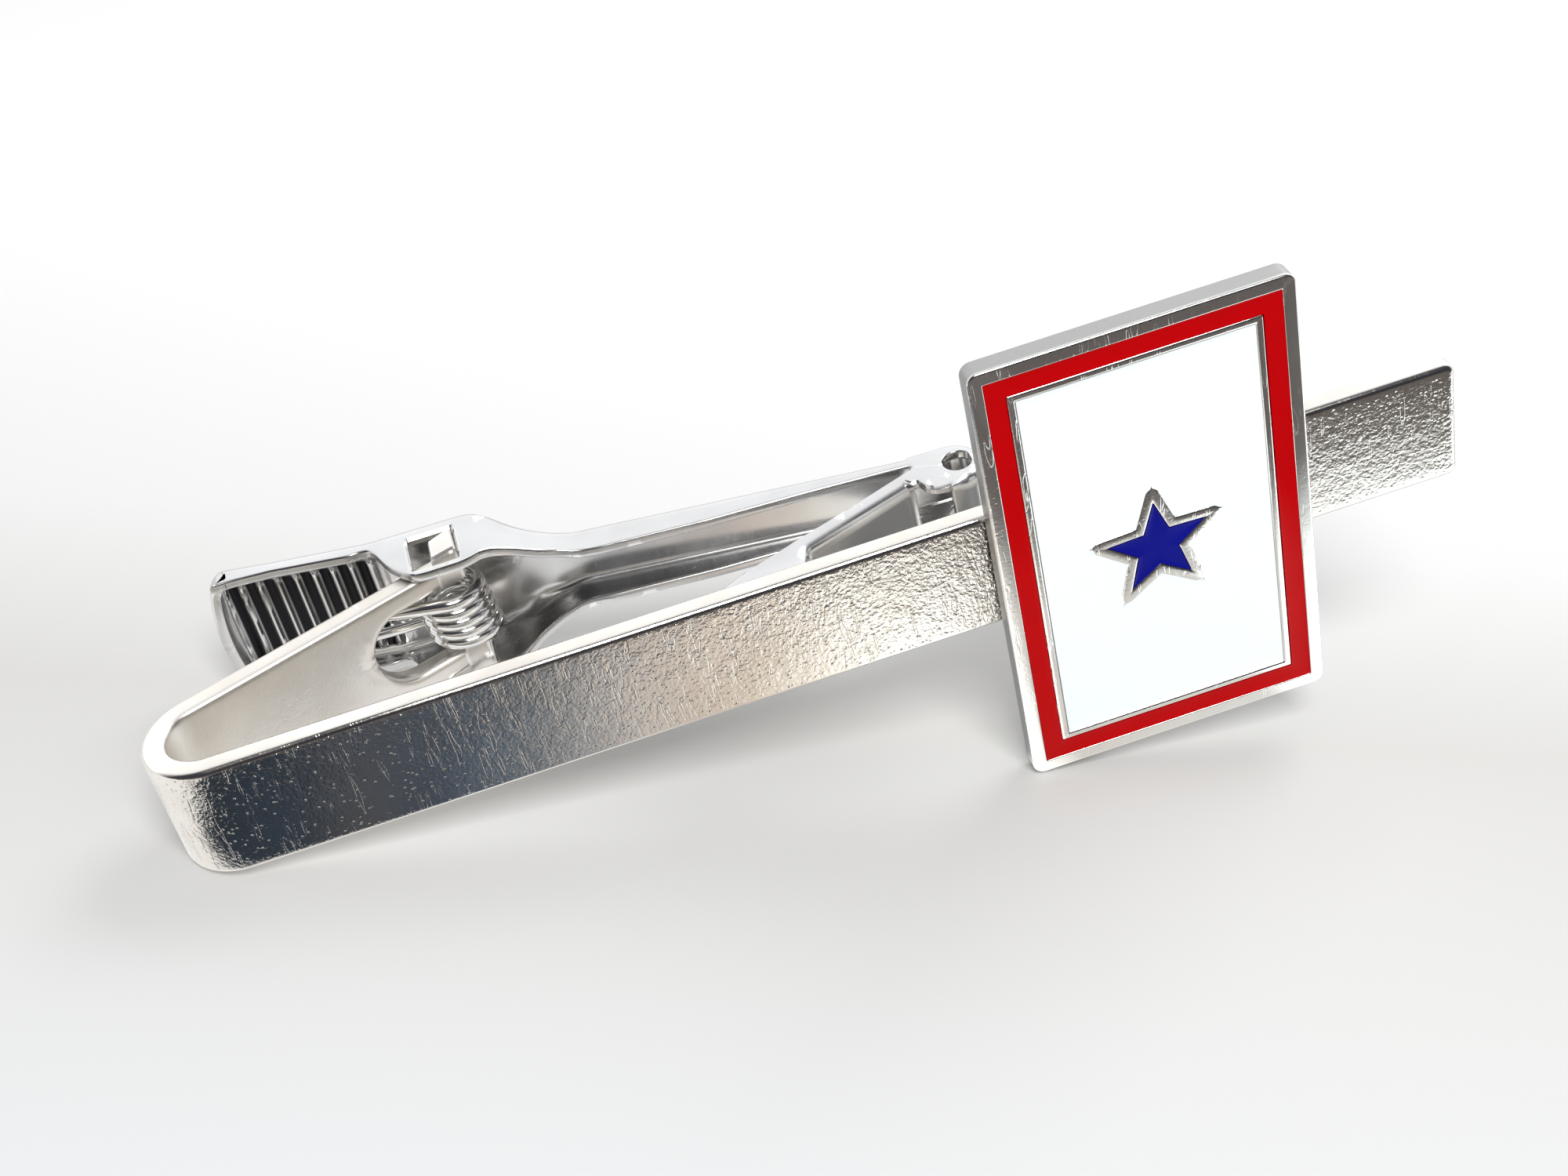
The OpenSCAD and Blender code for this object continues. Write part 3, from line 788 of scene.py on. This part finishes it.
def star_outline(out, per_side=14):
    """The star's outline with its sides moved out by each value of out, over (out, way round)."""
    out = np.asarray(out, float)[:, None]
    tip_r = star_r + out / np.sin(tip_half)
    hollow_r = star_r * star_ratio + out / np.sin(np.radians(36) + tip_half)
    k = np.arange(10)
    angle = np.radians(90 + 36 * k)
    radius = np.where(k % 2 == 0, tip_r, hollow_r)
    corner = radius[..., None] * np.stack([np.cos(angle), np.sin(angle)], -1)
    following = np.roll(corner, -1, axis=1)
    t = np.linspace(0, 1, per_side + 1)[:-1]
    return (corner[:, :, None] * (1 - t)[None, None, :, None]
            + following[:, :, None] * t[None, None, :, None]).reshape(len(out), -1, 2)


def star_ridge():
    """The wall's profile carried round the star; its tips are cut back past the radius blunt."""
    half = (star_line + wall_out) / 2
    profile = np.array(ridge(half, half, pocket + 0.1, crown=0.12))
    plan = star_outline(profile[:, 0])
    radius = np.linalg.norm(plan, axis=-1, keepdims=True)
    blunt = star_r + 0.62
    plan = plan * np.where(radius > blunt, (blunt + (radius - blunt) * 0.35) / radius, 1)
    y = np.broadcast_to((front_y + profile[:, 1])[:, None], plan.shape[:2])
    points = np.stack([plan[..., 0] + badge_x, y, plan[..., 1] + star_z], -1)
    n = plan.shape[1]
    faces = grid_faces(len(profile), n, wrap=True)
    a, b = np.arange(n), (np.arange(n) + 1) % n
    last = (len(profile) - 1) * n
    return points.reshape(-1, 3), np.concatenate([faces, np.stack([a + last, b + last, b, a], -1)])


points, faces = star_ridge()
star_wall = shell("star_wall", in_frame(points), faces, "frame", sharp=35)

# %% [markdown]
# ## Enamel
#
# Fired enamel shrinks as it cools and clings to the metal, so it climbs a little at every wall
# and sags between them. Each fill is a skin whose depth is a function of the distance from its
# walls. It goes down into the pocket all round, so no light gets under it.

# %% The three fills
def sag(distance, reach=0.5, climb=0.035):
    """Depth below the metal: enamel_low, less a climb that dies away from the wall."""
    return enamel_low - climb * np.exp(-np.asarray(distance, float) / reach * 3)


def fill_ring(name, outline_a, outline_b, centre, steps=13, inner_wall=True):
    """A fill between two outlines (each over the way round): straight across from one to the
    other, with a wall down into the pocket at both ends."""
    t = 0.5 - 0.5 * np.cos(np.linspace(0, np.pi, steps))
    span = np.linalg.norm(outline_b - outline_a, axis=-1)
    plan = outline_a[None] + (outline_b - outline_a)[None] * t[:, None, None]
    near = (np.minimum(t, 1 - t) if inner_wall else t)[:, None] * span[None]
    depth = sag(near)
    plan = np.concatenate([plan[:1], plan, plan[-1:], plan[-1:] * .5 + plan[:1] * .5])
    depth = np.concatenate([np.full((1, depth.shape[1]), pocket - .02), depth,
                            np.full((2, depth.shape[1]), pocket - .02)])
    points = np.stack([plan[..., 0] + centre[0], front_y + depth, plan[..., 1] + centre[1]], -1)
    n = plan.shape[1]
    faces = grid_faces(len(plan), n, wrap=True)
    a, b = np.arange(n), (np.arange(n) + 1) % n
    last = (len(plan) - 1) * n
    faces = np.concatenate([faces, np.stack([a + last, b + last, b, a], -1)])
    piece = shell(name, in_frame(points.reshape(-1, 3)), faces, "frame", sharp=50)
    return piece


def box_outline(inset):
    """One rectangle, as points round it."""
    return round_rectangle([inset], [0.06])[0]


red = fill_ring("red_enamel", box_outline(rim_w), box_outline(line_in), (badge_x, badge_z))
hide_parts("enamel_border")


def field_outlines():
    """The field's outer rectangle and the star's outline, each met by the same rays from the
    star's centre: the rays go to every star point and every corner of the rectangle."""
    star = star_outline([star_line])[0]
    rays = np.unwrap(np.arctan2(star[:, 1], star[:, 0]))
    a, b = badge_w / 2 - line_in - line_w, badge_h / 2 - line_in - line_w
    drop = star_z - badge_z
    corners = np.arctan2([b - drop, b - drop, -b - drop, -b - drop], [a, -a, -a, a])
    corners = np.concatenate([corners + 2 * np.pi * k for k in range(-1, 3)])
    corners = corners[(corners > rays[0]) & (corners < rays[0] + 2 * np.pi)]
    angle = np.sort(np.concatenate([rays, corners]))
    radius_star = np.interp(angle, np.append(rays, rays[0] + 2 * np.pi),
                            np.linalg.norm(np.append(star, star[:1], 0), axis=1))
    c, s = np.cos(angle), np.sin(angle)
    with np.errstate(divide="ignore"):
        reach = np.minimum(a / np.abs(c), np.where(s > 0, (b - drop) / np.abs(s), (b + drop) / np.abs(s)))
    return np.stack([c * reach, s * reach], -1), np.stack([c * radius_star, s * radius_star], -1)


field_out, field_in = field_outlines()
white = fill_ring("white_enamel", field_out, field_in, (badge_x, star_z), steps=25)
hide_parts("enamel_field")
centre_dot = star_outline([0.0])[0]
blue = fill_ring("blue_enamel", centre_dot, centre_dot * 0.005, (badge_x, star_z),
                 inner_wall=False)
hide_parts("enamel_star")

# %% [markdown]
# ## Solder
#
# The badge is sweated on to the bar. The solder's skin is drawn in between the two by its own
# surface tension, and it left a small bright bead at the top corner.

# %% The solder and its bead
solder_low, solder_high = ((np.array(c) - BASE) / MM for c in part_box("badge_solder"))


def solder_pad():
    """A closed pad: a rounded rectangle whose sides are hollow, in by a parabola half way up."""
    t = np.linspace(0, 1, 9)
    n = 160
    turn = np.linspace(0, 2 * np.pi, n, endpoint=False)
    cx, cz = (solder_low[0] + solder_high[0]) / 2, (solder_low[2] + solder_high[2]) / 2
    a, b = (solder_high[0] - solder_low[0]) / 2, (solder_high[2] - solder_low[2]) / 2
    ragged = 1 + 0.012 * np.sin(5 * turn + 1) + 0.01 * np.sin(11 * turn)
    c, s = np.cos(turn), np.sin(turn)
    k = (np.abs(c) ** 8 + np.abs(s) ** 8) ** (-1 / 8) * ragged
    size = 1 - 0.09 * (4 * t * (1 - t))
    scale = np.concatenate([[0.0], size, [0.0]])
    y = np.concatenate([[0], t, [1]]) * (solder_high[1] - solder_low[1]) + solder_low[1]
    points = np.stack([cx + a * scale[:, None] * np.clip(k * c, -1, 1) * 0.995,
                       np.broadcast_to(y[:, None], (len(y), n)),
                       cz + b * scale[:, None] * np.clip(k * s, -1, 1) * 0.995], -1)
    return points.reshape(-1, 3), grid_faces(len(y), n, wrap=True)


def bead(centre, size, rows=14, around=24):
    """A squashed ball, its skin made uneven by two slow waves."""
    lat = np.linspace(-np.pi / 2, np.pi / 2, rows)[:, None]
    lon = np.linspace(0, 2 * np.pi, around, endpoint=False)[None]
    swell = 1 + 0.08 * np.sin(3 * lon + 1) * np.cos(lat) + 0.05 * np.sin(4 * lat)
    ball = np.stack([np.cos(lat) * np.cos(lon) * swell, np.sin(lat) * swell * np.ones_like(lon),
                     np.cos(lat) * np.sin(lon) * swell], -1)
    return (np.array(centre) + ball * np.array(size)).reshape(-1, 3), grid_faces(rows, around, wrap=True)


left_x = badge_x - badge_w / 2
parts = [solder_pad(), bead((left_x + 0.55, -0.14, 2.78), (0.32, 0.17, 0.3))]
points, faces = together(parts)
solder = shell("solder_joint", in_frame(points), faces, "frame", sharp=60)
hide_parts("badge_solder")

# %% [markdown]
# ## Shared effects
#
# Plated metal is never a perfect mirror. Rolled strip under plate keeps a fine orange peel, it
# picks up pits, hairline scratches from handling, and a faint tarnish that settles away from the
# edges. Each of these is one node group, built once and set differently in each metal.

# %% Node helpers
def new_group(name, inputs, outputs):
    """An empty shader group with float inputs (name, default) and float outputs."""
    tree = bpy.data.node_groups.new(name, "ShaderNodeTree")
    for label, value in inputs:
        made = tree.interface.new_socket(name=label, in_out="INPUT", socket_type="NodeSocketFloat")
        made.default_value = value
    for label in outputs:
        tree.interface.new_socket(name=label, in_out="OUTPUT", socket_type="NodeSocketFloat")
    return tree, tree.nodes.new("NodeGroupInput").outputs, tree.nodes.new("NodeGroupOutput").inputs


def new_material(name):
    """A material with its node tree and its Principled shader's inputs."""
    material = bpy.data.materials.new(name)
    material.use_nodes = True
    return material, material.node_tree, material.node_tree.nodes["Principled BSDF"].inputs


def add(tree, kind, links=(), **values):
    """A node with some values set and some inputs linked: links are (input, socket) pairs."""
    node = tree.nodes.new(kind)
    for key, value in values.items():
        setattr(node, key, value)
    for key, source in links:
        target = node.inputs[key]
        if isinstance(source, bpy.types.NodeSocket):
            tree.links.new(source, target)
        else:
            target.default_value = source
    return node


def worked(tree, operation, *terms):
    """The result of one Math node."""
    return add(tree, "ShaderNodeMath", enumerate(terms), operation=operation).outputs[0]


def ranged(tree, value, low, high, to_low=0.0, to_high=1.0):
    """The value carried from low..high to to_low..to_high, and held past both ends."""
    return add(tree, "ShaderNodeMapRange", [("Value", value), ("From Min", low), ("From Max", high),
                                            ("To Min", to_low), ("To Max", to_high)]).outputs[0]


def mixed(tree, share, a, b):
    """Colour a where the share is 0 and colour b where it is 1."""
    links = [("Factor", share), ("A", a), ("B", b)]
    return add(tree, "ShaderNodeMix", links, data_type="RGBA").outputs["Result"]


def ramp(tree, source, stops):
    """A colour ramp with the given (place, grey or colour) stops."""
    node = add(tree, "ShaderNodeValToRGB", [("Fac", source)])
    node.color_ramp.elements[0].position = stops[0][0]
    node.color_ramp.elements[1].position = stops[-1][0]
    for place, _ in stops[1:-1]:
        node.color_ramp.elements.new(place)
    for element, (_, colour) in zip(node.color_ramp.elements, stops):
        element.color = (colour, colour, colour, 1) if isinstance(colour, (int, float)) else (*colour, 1)
    return node.outputs[0]


def speckle(tree, place, scale, detail):
    """Soft noise from 0 to 1."""
    links = [("Vector", place), ("Scale", scale), ("Detail", detail)]
    return add(tree, "ShaderNodeTexNoise", links).outputs["Fac"]


def part_of(tree, vector, axis):
    """One part of a vector: X, Y or Z."""
    return add(tree, "ShaderNodeSeparateXYZ", [("Vector", vector)]).outputs[axis]


def on_piece(tree):
    """The place on the piece, in metres."""
    return add(tree, "ShaderNodeTexCoord").outputs["Object"]


def facing(tree, axis):
    """How far the surface faces along one axis, from -1 to 1, before any bump."""
    return part_of(tree, add(tree, "ShaderNodeNewGeometry").outputs["True Normal"], axis)


# %% Orange peel, pits and scratches
def surface_group():
    """Height is peel (two sizes of soft noise) less pits (the middles of small cells) less fine
    scratches (thin lines of stretched noise). Wear says where scratches lie, Tarnish is slow, and
    Inside is 1 behind the bar's front, inside the fold."""
    tree, given, out = new_group("plated surface", [("Peel", 1.0), ("Pits", 1.0), ("Scratches", 1.0)],
                                 ["Height", "Wear", "Tarnish", "Inside"])
    place = on_piece(tree)
    peel = worked(tree, "ADD", speckle(tree, place, 2400.0, 2.0), speckle(tree, place, 7000.0, 2.0))
    cells = add(tree, "ShaderNodeTexVoronoi", [("Vector", place), ("Scale", 3600.0)]).outputs["Distance"]
    pit = ramp(tree, cells, [(0.0, 1.0), (0.12, 0.6), (0.22, 0.0)])
    lines = 0.0
    for turn, scale in ((0.5, 2520.0), (-0.9, 3120.0), (1.9, 2160.0)):
        spun = add(tree, "ShaderNodeMapping", [("Vector", place), ("Rotation", (0.0, turn, turn * 0.6)),
                                               ("Scale", (1.0, 1.0, 0.16))]).outputs[0]
        thin = ramp(tree, speckle(tree, spun, scale, 1.0),
                    [(0.0, 0.0), (0.655, 0.0), (0.68, 1.0), (0.705, 0.0), (1.0, 0.0)])
        lines = worked(tree, "MAXIMUM", lines, thin)
    scratch = worked(tree, "MULTIPLY", lines, given["Scratches"])
    height = worked(tree, "MULTIPLY", peel, given["Peel"])
    height = worked(tree, "SUBTRACT", height, worked(tree, "MULTIPLY", pit, given["Pits"]))
    height = worked(tree, "SUBTRACT", height, scratch)
    # the rolled edges, the inside of the fold and the open end are smoother than the bar's front
    flat = ranged(tree, worked(tree, "ABSOLUTE", facing(tree, "Z")), 0.08, 0.4, 1.0, 0.06)
    front = ranged(tree, part_of(tree, place, "Y"), 0.2 * MM, 1.2 * MM, 1.0, 0.12)
    open_end = ranged(tree, part_of(tree, place, "X"), 16 * MM, 21 * MM, 1.0, 0.4)
    for calm in (flat, front, open_end):
        height = worked(tree, "MULTIPLY", height, calm)
    tree.links.new(height, out["Height"])
    tree.links.new(scratch, out["Wear"])
    tree.links.new(ramp(tree, speckle(tree, place, 260.0, 4.0), [(0.35, 0.0), (0.7, 1.0)]), out["Tarnish"])
    tree.links.new(ranged(tree, front, 1.0, 0.12), out["Inside"])
    return tree


surface = surface_group()
print("the surface gives", ", ".join(s.name for s in surface.interface.items_tree if s.in_out == "OUTPUT"))


# %% Bright edges
def edge_group():
    """Edge is 1 on outward corners, which are coloured lighter, partly as worn plate and partly as a
    painted highlight, and 0 on flats.
    """
    tree, _, out = new_group("bright edges", [], ["Edge"])
    corner = add(tree, "ShaderNodeNewGeometry").outputs["Pointiness"]
    tree.links.new(ranged(tree, corner, 0.52, 0.6), out["Edge"])
    return tree


edges = edge_group()

# %% [markdown]
# ## The metals
#
# Nickel plate is a metal with a slightly warm grey. What sets the pieces apart is how rough they
# are and how strong the peel is: bright on the bar, smoother on the lever, satin on the badge's
# sides, dull on the solder. The gaps between the ribs are painted near black: painted shade.

# %% Plated metals
# the first colour lightens outward corners: edge wear and a painted highlight
# the last colour is painted shade, laid between the ribs
worn_bright_and_highlight, satin_side, rib_painted_shade = (0.9, 0.89, 0.87, 1), (0.36, 0.36, 0.35, 1), (0.02, 0.02, 0.022, 1)


def rib_gaps(tree):
    """Where the painted shade between the ribs goes: 1 between the ribs on the inner side of the
    pad, and 0 elsewhere: how far the place is from the nearest rib, in pitches, held to the pad by
    its limits in millimetres."""
    place, pitch = on_piece(tree), rib_pitch * MM
    turn = worked(tree, "MULTIPLY_ADD", part_of(tree, place, "X"), 1 / pitch,
                  0.5 - (first_rib * MM + BASE[0]) / pitch)
    from_rib = worked(tree, "ABSOLUTE", worked(tree, "SUBTRACT", worked(tree, "FRACT", turn), 0.5))
    inner_side = ranged(tree, facing(tree, "Y"), 0.15, -0.05)
    gap = worked(tree, "MULTIPLY", ranged(tree, from_rib, 0.14, 0.26), inner_side)
    for axis, out, inside in (("X", 3.6, 4.0), ("X", 10.7, 10.5), ("Y", 10.6, 10.8), ("Z", -2.5, -2.35),
                              ("Z", 2.5, 2.35)):
        base = BASE["XYZ".index(axis)]
        within = ranged(tree, part_of(tree, place, axis), out * MM + base, inside * MM + base)
        gap = worked(tree, "MULTIPLY", gap, within)
    return gap


def plated(name, colour, tarnished, rough, relief, bump, sides=None, ribs=False, satin=0.0):
    """A metal with the shared surface: relief is its peel, pits and scratches. Tarnish and wear
    move the colour and the roughness, and the height goes to a bump; the lighter outward corners
    are partly worn plate and partly a painted highlight. Past the depth given as sides the metal
    is the badge's satin edge, and satin is added inside the fold. With ribs, the gaps between
    them get painted shade."""
    material, tree, shader = new_material(name)
    shader["Metallic"].default_value = 1.0
    skin = add(tree, "ShaderNodeGroup", node_tree=surface)
    for key, value in zip(("Peel", "Pits", "Scratches"), relief):
        skin.inputs[key].default_value = value
    edge = add(tree, "ShaderNodeGroup", node_tree=edges).outputs["Edge"]
    skin = skin.outputs
    shade = mixed(tree, skin["Tarnish"], (*colour, 1), (*tarnished, 1))
    # outward corners lighter: edge wear and a painted highlight
    shade = mixed(tree, edge, shade, worn_bright_and_highlight)
    dull = worked(tree, "MULTIPLY_ADD", skin["Wear"], 0.12, ranged(tree, skin["Tarnish"], 0.0, 1.0, *rough))
    if satin:
        dull = worked(tree, "MULTIPLY_ADD", skin["Inside"], satin, dull)
    if sides is not None:
        deep = ranged(tree, part_of(tree, on_piece(tree), "Y"), sides + 0.07 * MM, sides + 0.16 * MM)
        shade = mixed(tree, deep, shade, satin_side)
        dull = worked(tree, "MULTIPLY_ADD", deep, 0.26, dull)
    # painted shade: the gaps between the ribs are painted near black
    if ribs:
        shade = mixed(tree, rib_gaps(tree), shade, rib_painted_shade)
    dents = add(tree, "ShaderNodeBump", [("Strength", 1.0), ("Distance", bump), ("Height", skin["Height"])])
    tree.links.new(shade, shader["Base Color"])
    tree.links.new(dull, shader["Roughness"])
    tree.links.new(dents.outputs[0], shader["Normal"])
    return material


strip_metal = plated("bright plated strip", (0.78, 0.75, 0.70), (0.66, 0.62, 0.56), (0.10, 0.18),
                     (1.3, 1.1, 0.4), 3.0e-5, satin=0.22)
lever_metal = plated("bright plated pressing", (0.62, 0.615, 0.61), (0.54, 0.535, 0.53), (0.18, 0.27),
                     (0.35, 0.3, 0.3), 1.2e-5, ribs=True)
badge_metal = plated("struck badge metal", (0.78, 0.77, 0.74), (0.66, 0.65, 0.62), (0.14, 0.26),
                     (0.4, 0.4, 0.8), 1.2e-5, sides=badge_low[1])
wire_metal = plated("drawn spring wire", (0.86, 0.85, 0.83), (0.74, 0.73, 0.71), (0.08, 0.16),
                    (0.2, 0.2, 0.5), 5e-6)
solder_metal = plated("soft solder", (0.5, 0.5, 0.49), (0.36, 0.36, 0.35), (0.3, 0.5),
                      (1.0, 0.6, 0.2), 1.6e-5)

# %% [markdown]
# ## The enamels
#
# Enamel is coloured glass over metal: an even colour under a clear gloss. It is given away by
# small things, a surface that waves very slightly, and specks of soot from the kiln.

# %% Enamels
def enamel(name, colour, deep, speck, speck_share):
    """Glossy glass: slow clouding between two shades, rare specks, and a gentle wave."""
    material, tree, shader = new_material(name)
    for key, value in (("IOR", 1.52), ("Specular IOR Level", 0.05), ("Coat Weight", 0.02),
                       ("Coat Roughness", 0.04)):
        shader[key].default_value = value
    place = on_piece(tree)
    cloud = speckle(tree, place, 420.0, 3.0)
    cells = add(tree, "ShaderNodeTexVoronoi", [("Vector", place), ("Scale", 900.0)]).outputs
    spot = ramp(tree, cells["Distance"], [(0.0, 1.0), (0.05, 0.8), (0.08, 0.0)])
    spot = worked(tree, "MULTIPLY", spot, worked(tree, "LESS_THAN", cells["Color"], speck_share))
    shade = mixed(tree, spot, mixed(tree, cloud, (*colour, 1), (*deep, 1)), (*speck, 1))
    lift = add(tree, "ShaderNodeBump", [("Strength", 0.6), ("Distance", 1.2e-5),
                                        ("Height", speckle(tree, place, 500.0, 1.0))])
    tree.links.new(shade, shader["Base Color"])
    tree.links.new(ranged(tree, cloud, 0.0, 1.0, 0.08, 0.2), shader["Roughness"])
    tree.links.new(lift.outputs[0], shader["Normal"])
    return material


red_glass = enamel("red enamel glass", (0.54, 0.001, 0.003), (0.45, 0.001, 0.002), (0.12, 0.0, 0.0), 0.25)
white_glass = enamel("white enamel glass", (0.95, 1.0, 1.0), (0.93, 0.98, 1.0), (0.3, 0.3, 0.3), 0.1)
blue_glass = enamel("blue enamel glass", (0.007, 0.009, 0.27), (0.005, 0.006, 0.2), (0.0, 0.0, 0.02), 0.2)

# %% Put the finishes on
finishes = {strip_metal: ["bar_and_arm", "clip_strip"], lever_metal: ["sprung_lever", "spring_lever"],
            wire_metal: ["coil_spring", "torsion_spring"], solder_metal: ["solder_joint", "badge_solder"],
            badge_metal: ["badge_plate_struck", "star_wall", "badge_plate"],
            red_glass: ["red_enamel", "enamel_border"], white_glass: ["white_enamel", "enamel_field"],
            blue_glass: ["blue_enamel", "enamel_star"]}
for material, names in finishes.items():
    for name in names:
        piece = bpy.data.objects[name]
        piece.data.materials.clear()
        piece.data.materials.append(material)
print(sum(map(len, finishes.values())), "pieces and nodes finished with", len(finishes), "materials")

# %% [markdown]
# ## Table, light and camera
#
# The clip lies as it would on a table: on the bend, the thumb end and one corner of the badge, so
# the table is tilted in the frame's own axes. Three resting points fix it. Polished metal shows
# only what is round it. So the table carries a painted reflection, a pattern that glows for
# mirror-like surfaces alone, with a dark corner and painted sheets of light, and its own colour
# is graded darker round the clip as painted shade. The sky is dark behind the camera and bright
# beyond the clip.

# %% The table
rest_points = np.array([[badge_low[0], badge_low[1], badge_low[2]],
                        [strip_low[0] + 0.5 * MM, strip_low[1] + 2 * MM, -strip_w / 2 * MM],
                        [lever_low[0] + 0.6 * MM, lever_high[1] - 0.3 * MM, lever_low[2]]])
up = np.cross(rest_points[2] - rest_points[0], rest_points[1] - rest_points[0])
up = up / np.linalg.norm(up) * np.sign(up[2])
print("table leans", round(float(np.degrees(np.arccos(up[2]))), 1), "degrees")
level = Vector(up).to_track_quat("Z", "Y").to_matrix().to_4x4()
table_mesh = bpy.data.meshes.new("table")
reach, clear = 0.6, 0.05 * MM
table_mesh.from_pydata([(-reach, -reach, 0), (reach, -reach, 0), (reach, reach, 0), (-reach, reach, 0)], [],
                       [(0, 1, 2, 3)])
table = bpy.data.objects.new("table", table_mesh)
table.matrix_world = Matrix.Translation(Vector(rest_points[0] - up * clear)) @ level
bpy.context.scene.collection.objects.link(table)

# %% The table's paper
paper, tree, shader = new_material("pale paper")
shader["Roughness"].default_value = 0.95
shader["Specular IOR Level"].default_value = 0.0
place = add(tree, "ShaderNodeNewGeometry").outputs["Position"]
beside, away = part_of(tree, place, "X"), part_of(tree, place, "Y")
along = ranged(tree, beside, -0.03, 0.04)


def step_in(low, high, under, over):
    """The table's pattern going from under to over as y goes from low to high."""
    return mixed(tree, ranged(tree, away, low, high), under, over)


# painted reflection for the bar's front, glowing for mirror-like surfaces only: a dark corner at
# the bend's side, a warm painted sheet of light in the middle, and white past the badge
before = ramp(tree, along, [
    (0.0, 1.1), (0.032, 1.0), (0.05, (0.03, 0.04, 0.055)), (0.13, (0.04, 0.055, 0.08)),
    (0.17, (0.1, 0.105, 0.12)), (0.21, (0.07, 0.09, 0.13)), (0.26, (0.14, 0.175, 0.22)),
    (0.315, (0.42, 0.43, 0.46)), (0.36, (0.74, 0.69, 0.65)), (0.41, (0.9, 0.78, 0.69)),
    (0.46, (1.18, 1.13, 1.04)), (0.52, (1.95, 1.97, 1.95)), (0.56, (2.0, 2.02, 2.0)),
    (0.6, (0.85, 0.82, 0.78)), (0.73, (0.9, 0.9, 0.88)), (0.77, (1.9, 1.95, 1.95)),
    (0.9, (2.3, 2.45, 2.5)), (1.0, (2.3, 2.45, 2.5))])
# painted reflection for the inside of the fold and for the lever
behind = ramp(tree, along, [(0.0, 1.1), (0.26, 1.1), (0.33, 1.0), (0.42, 0.62), (0.6, 0.5), (1.0, 0.8)])
under = ramp(tree, along, [(0.0, 1.0), (0.03, 1.0), (0.055, 0.7), (0.16, 0.9), (0.22, 0.9), (0.36, 0.95),
                           (0.45, 0.6), (0.6, 0.5), (1.0, 0.8)])
painted_reflection = step_in(-0.021, -0.015, (0.15, 0.135, 0.13, 1), before)
painted_reflection = step_in(-0.0019, -0.0009, painted_reflection, behind)
painted_reflection = step_in(0.0028, 0.0042, painted_reflection, under)
painted_reflection = step_in(0.012, 0.02, painted_reflection, (0.9, 0.9, 0.9, 1))
# painted shade: the paper's colour is graded, darker round the clip and towards the camera, near white
# beyond the clip
far_off = add(tree, "ShaderNodeVectorMath", [(0, place), (1, (0.35, 1.0, 0.0))],
              operation="DOT_PRODUCT").outputs["Value"]
painted_floor_shade = ramp(tree, ranged(tree, far_off, -0.03, 0.06), [
    (0.0, (0.72, 0.73, 0.745)), (0.2, (0.69, 0.69, 0.685)), (0.38, (0.65, 0.645, 0.63)),
    (0.55, (0.8, 0.8, 0.8)), (1.0, (0.97, 0.97, 0.97))])
# for glossy rays the paper is black and glows with the painted reflection
mirrored = add(tree, "ShaderNodeLightPath").outputs["Is Glossy Ray"]
tree.links.new(mixed(tree, mirrored, painted_floor_shade, (0, 0, 0, 1)), shader["Base Color"])
tree.links.new(painted_reflection, shader["Emission Color"])
tree.links.new(mirrored, shader["Emission Strength"])
paper.cycles.emission_sampling = "NONE"
table_mesh.materials.append(paper)

# %% Sky and lamps
world = bpy.data.worlds.new("studio")
bpy.context.scene.world = world
world.use_nodes = True
tree = world.node_tree
background = tree.nodes["Background"]
way = add(tree, "ShaderNodeTexCoord").outputs["Generated"]
# the tent that lights everything: a little brighter to the right
tent = ramp(tree, ranged(tree, part_of(tree, way, "X"), -1.0, 1.0), [(0.0, 0.38), (1.0, 0.56)])
# what metal sees of it: dark on the camera's side, bright on the far side
room = ramp(tree, ranged(tree, part_of(tree, way, "Y"), -1.0, 1.0), [
    (0.0, (0.04, 0.04, 0.05)), (0.38, (0.06, 0.06, 0.07)), (0.5, (0.5, 0.5, 0.52)),
    (0.62, (1.25, 1.27, 1.3)), (1.0, (1.5, 1.52, 1.55))])
mirrored = add(tree, "ShaderNodeLightPath").outputs["Is Glossy Ray"]
tree.links.new(mixed(tree, mirrored, tent, room), background.inputs["Color"])
background.inputs["Strength"].default_value = 1.0


def lamp(name, place, aim, size, power):
    """A square area lamp at place, in metres, turned to face aim."""
    data = bpy.data.lights.new(name, "AREA")
    data.shape = "SQUARE"
    data.size, data.energy = size, power
    lit = bpy.data.objects.new(name, data)
    way = Vector(aim) - Vector(place)
    lit.matrix_world = Matrix.Translation(Vector(place)) @ way.to_track_quat("-Z", "Y").to_matrix().to_4x4()
    bpy.context.scene.collection.objects.link(lit)


lamp("key", (0.22, 0.12, 0.2), (0.01, 0, 0), 0.16, 0.3)
lamp("front", (0.04, -0.2, 0.28), (0.01, 0, 0), 0.14, 0.85)
bpy.context.scene.view_settings.view_transform = "Standard"

# %% [markdown]
# The camera stands above and in front, rolled a little, with a lens of 52 mm. The middle of its
# view is not quite on the lens's axis, which a small shift gives.

# %% The camera
camera_data = bpy.data.cameras.new("camera")
camera_data.lens, camera_data.sensor_width = 52.0, 36.0
camera_data.shift_x, camera_data.shift_y = 0.05545, 0.01315
camera_data.clip_start, camera_data.clip_end = 0.005, 10
camera = bpy.data.objects.new("camera", camera_data)
right = Vector((0.9495, -0.2247, -0.2192)).normalized()
down = Vector((-0.3100, -0.5621, -0.7668)).normalized()
ahead = right.cross(down).normalized()
down = ahead.cross(right)
turned = Matrix((right, -down, -ahead)).transposed().to_4x4()
camera.matrix_world = Matrix.Translation(Vector(in_frame((18.50, -71.17, 56.82)))) @ turned
bpy.context.scene.collection.objects.link(camera)
bpy.context.scene.camera = camera
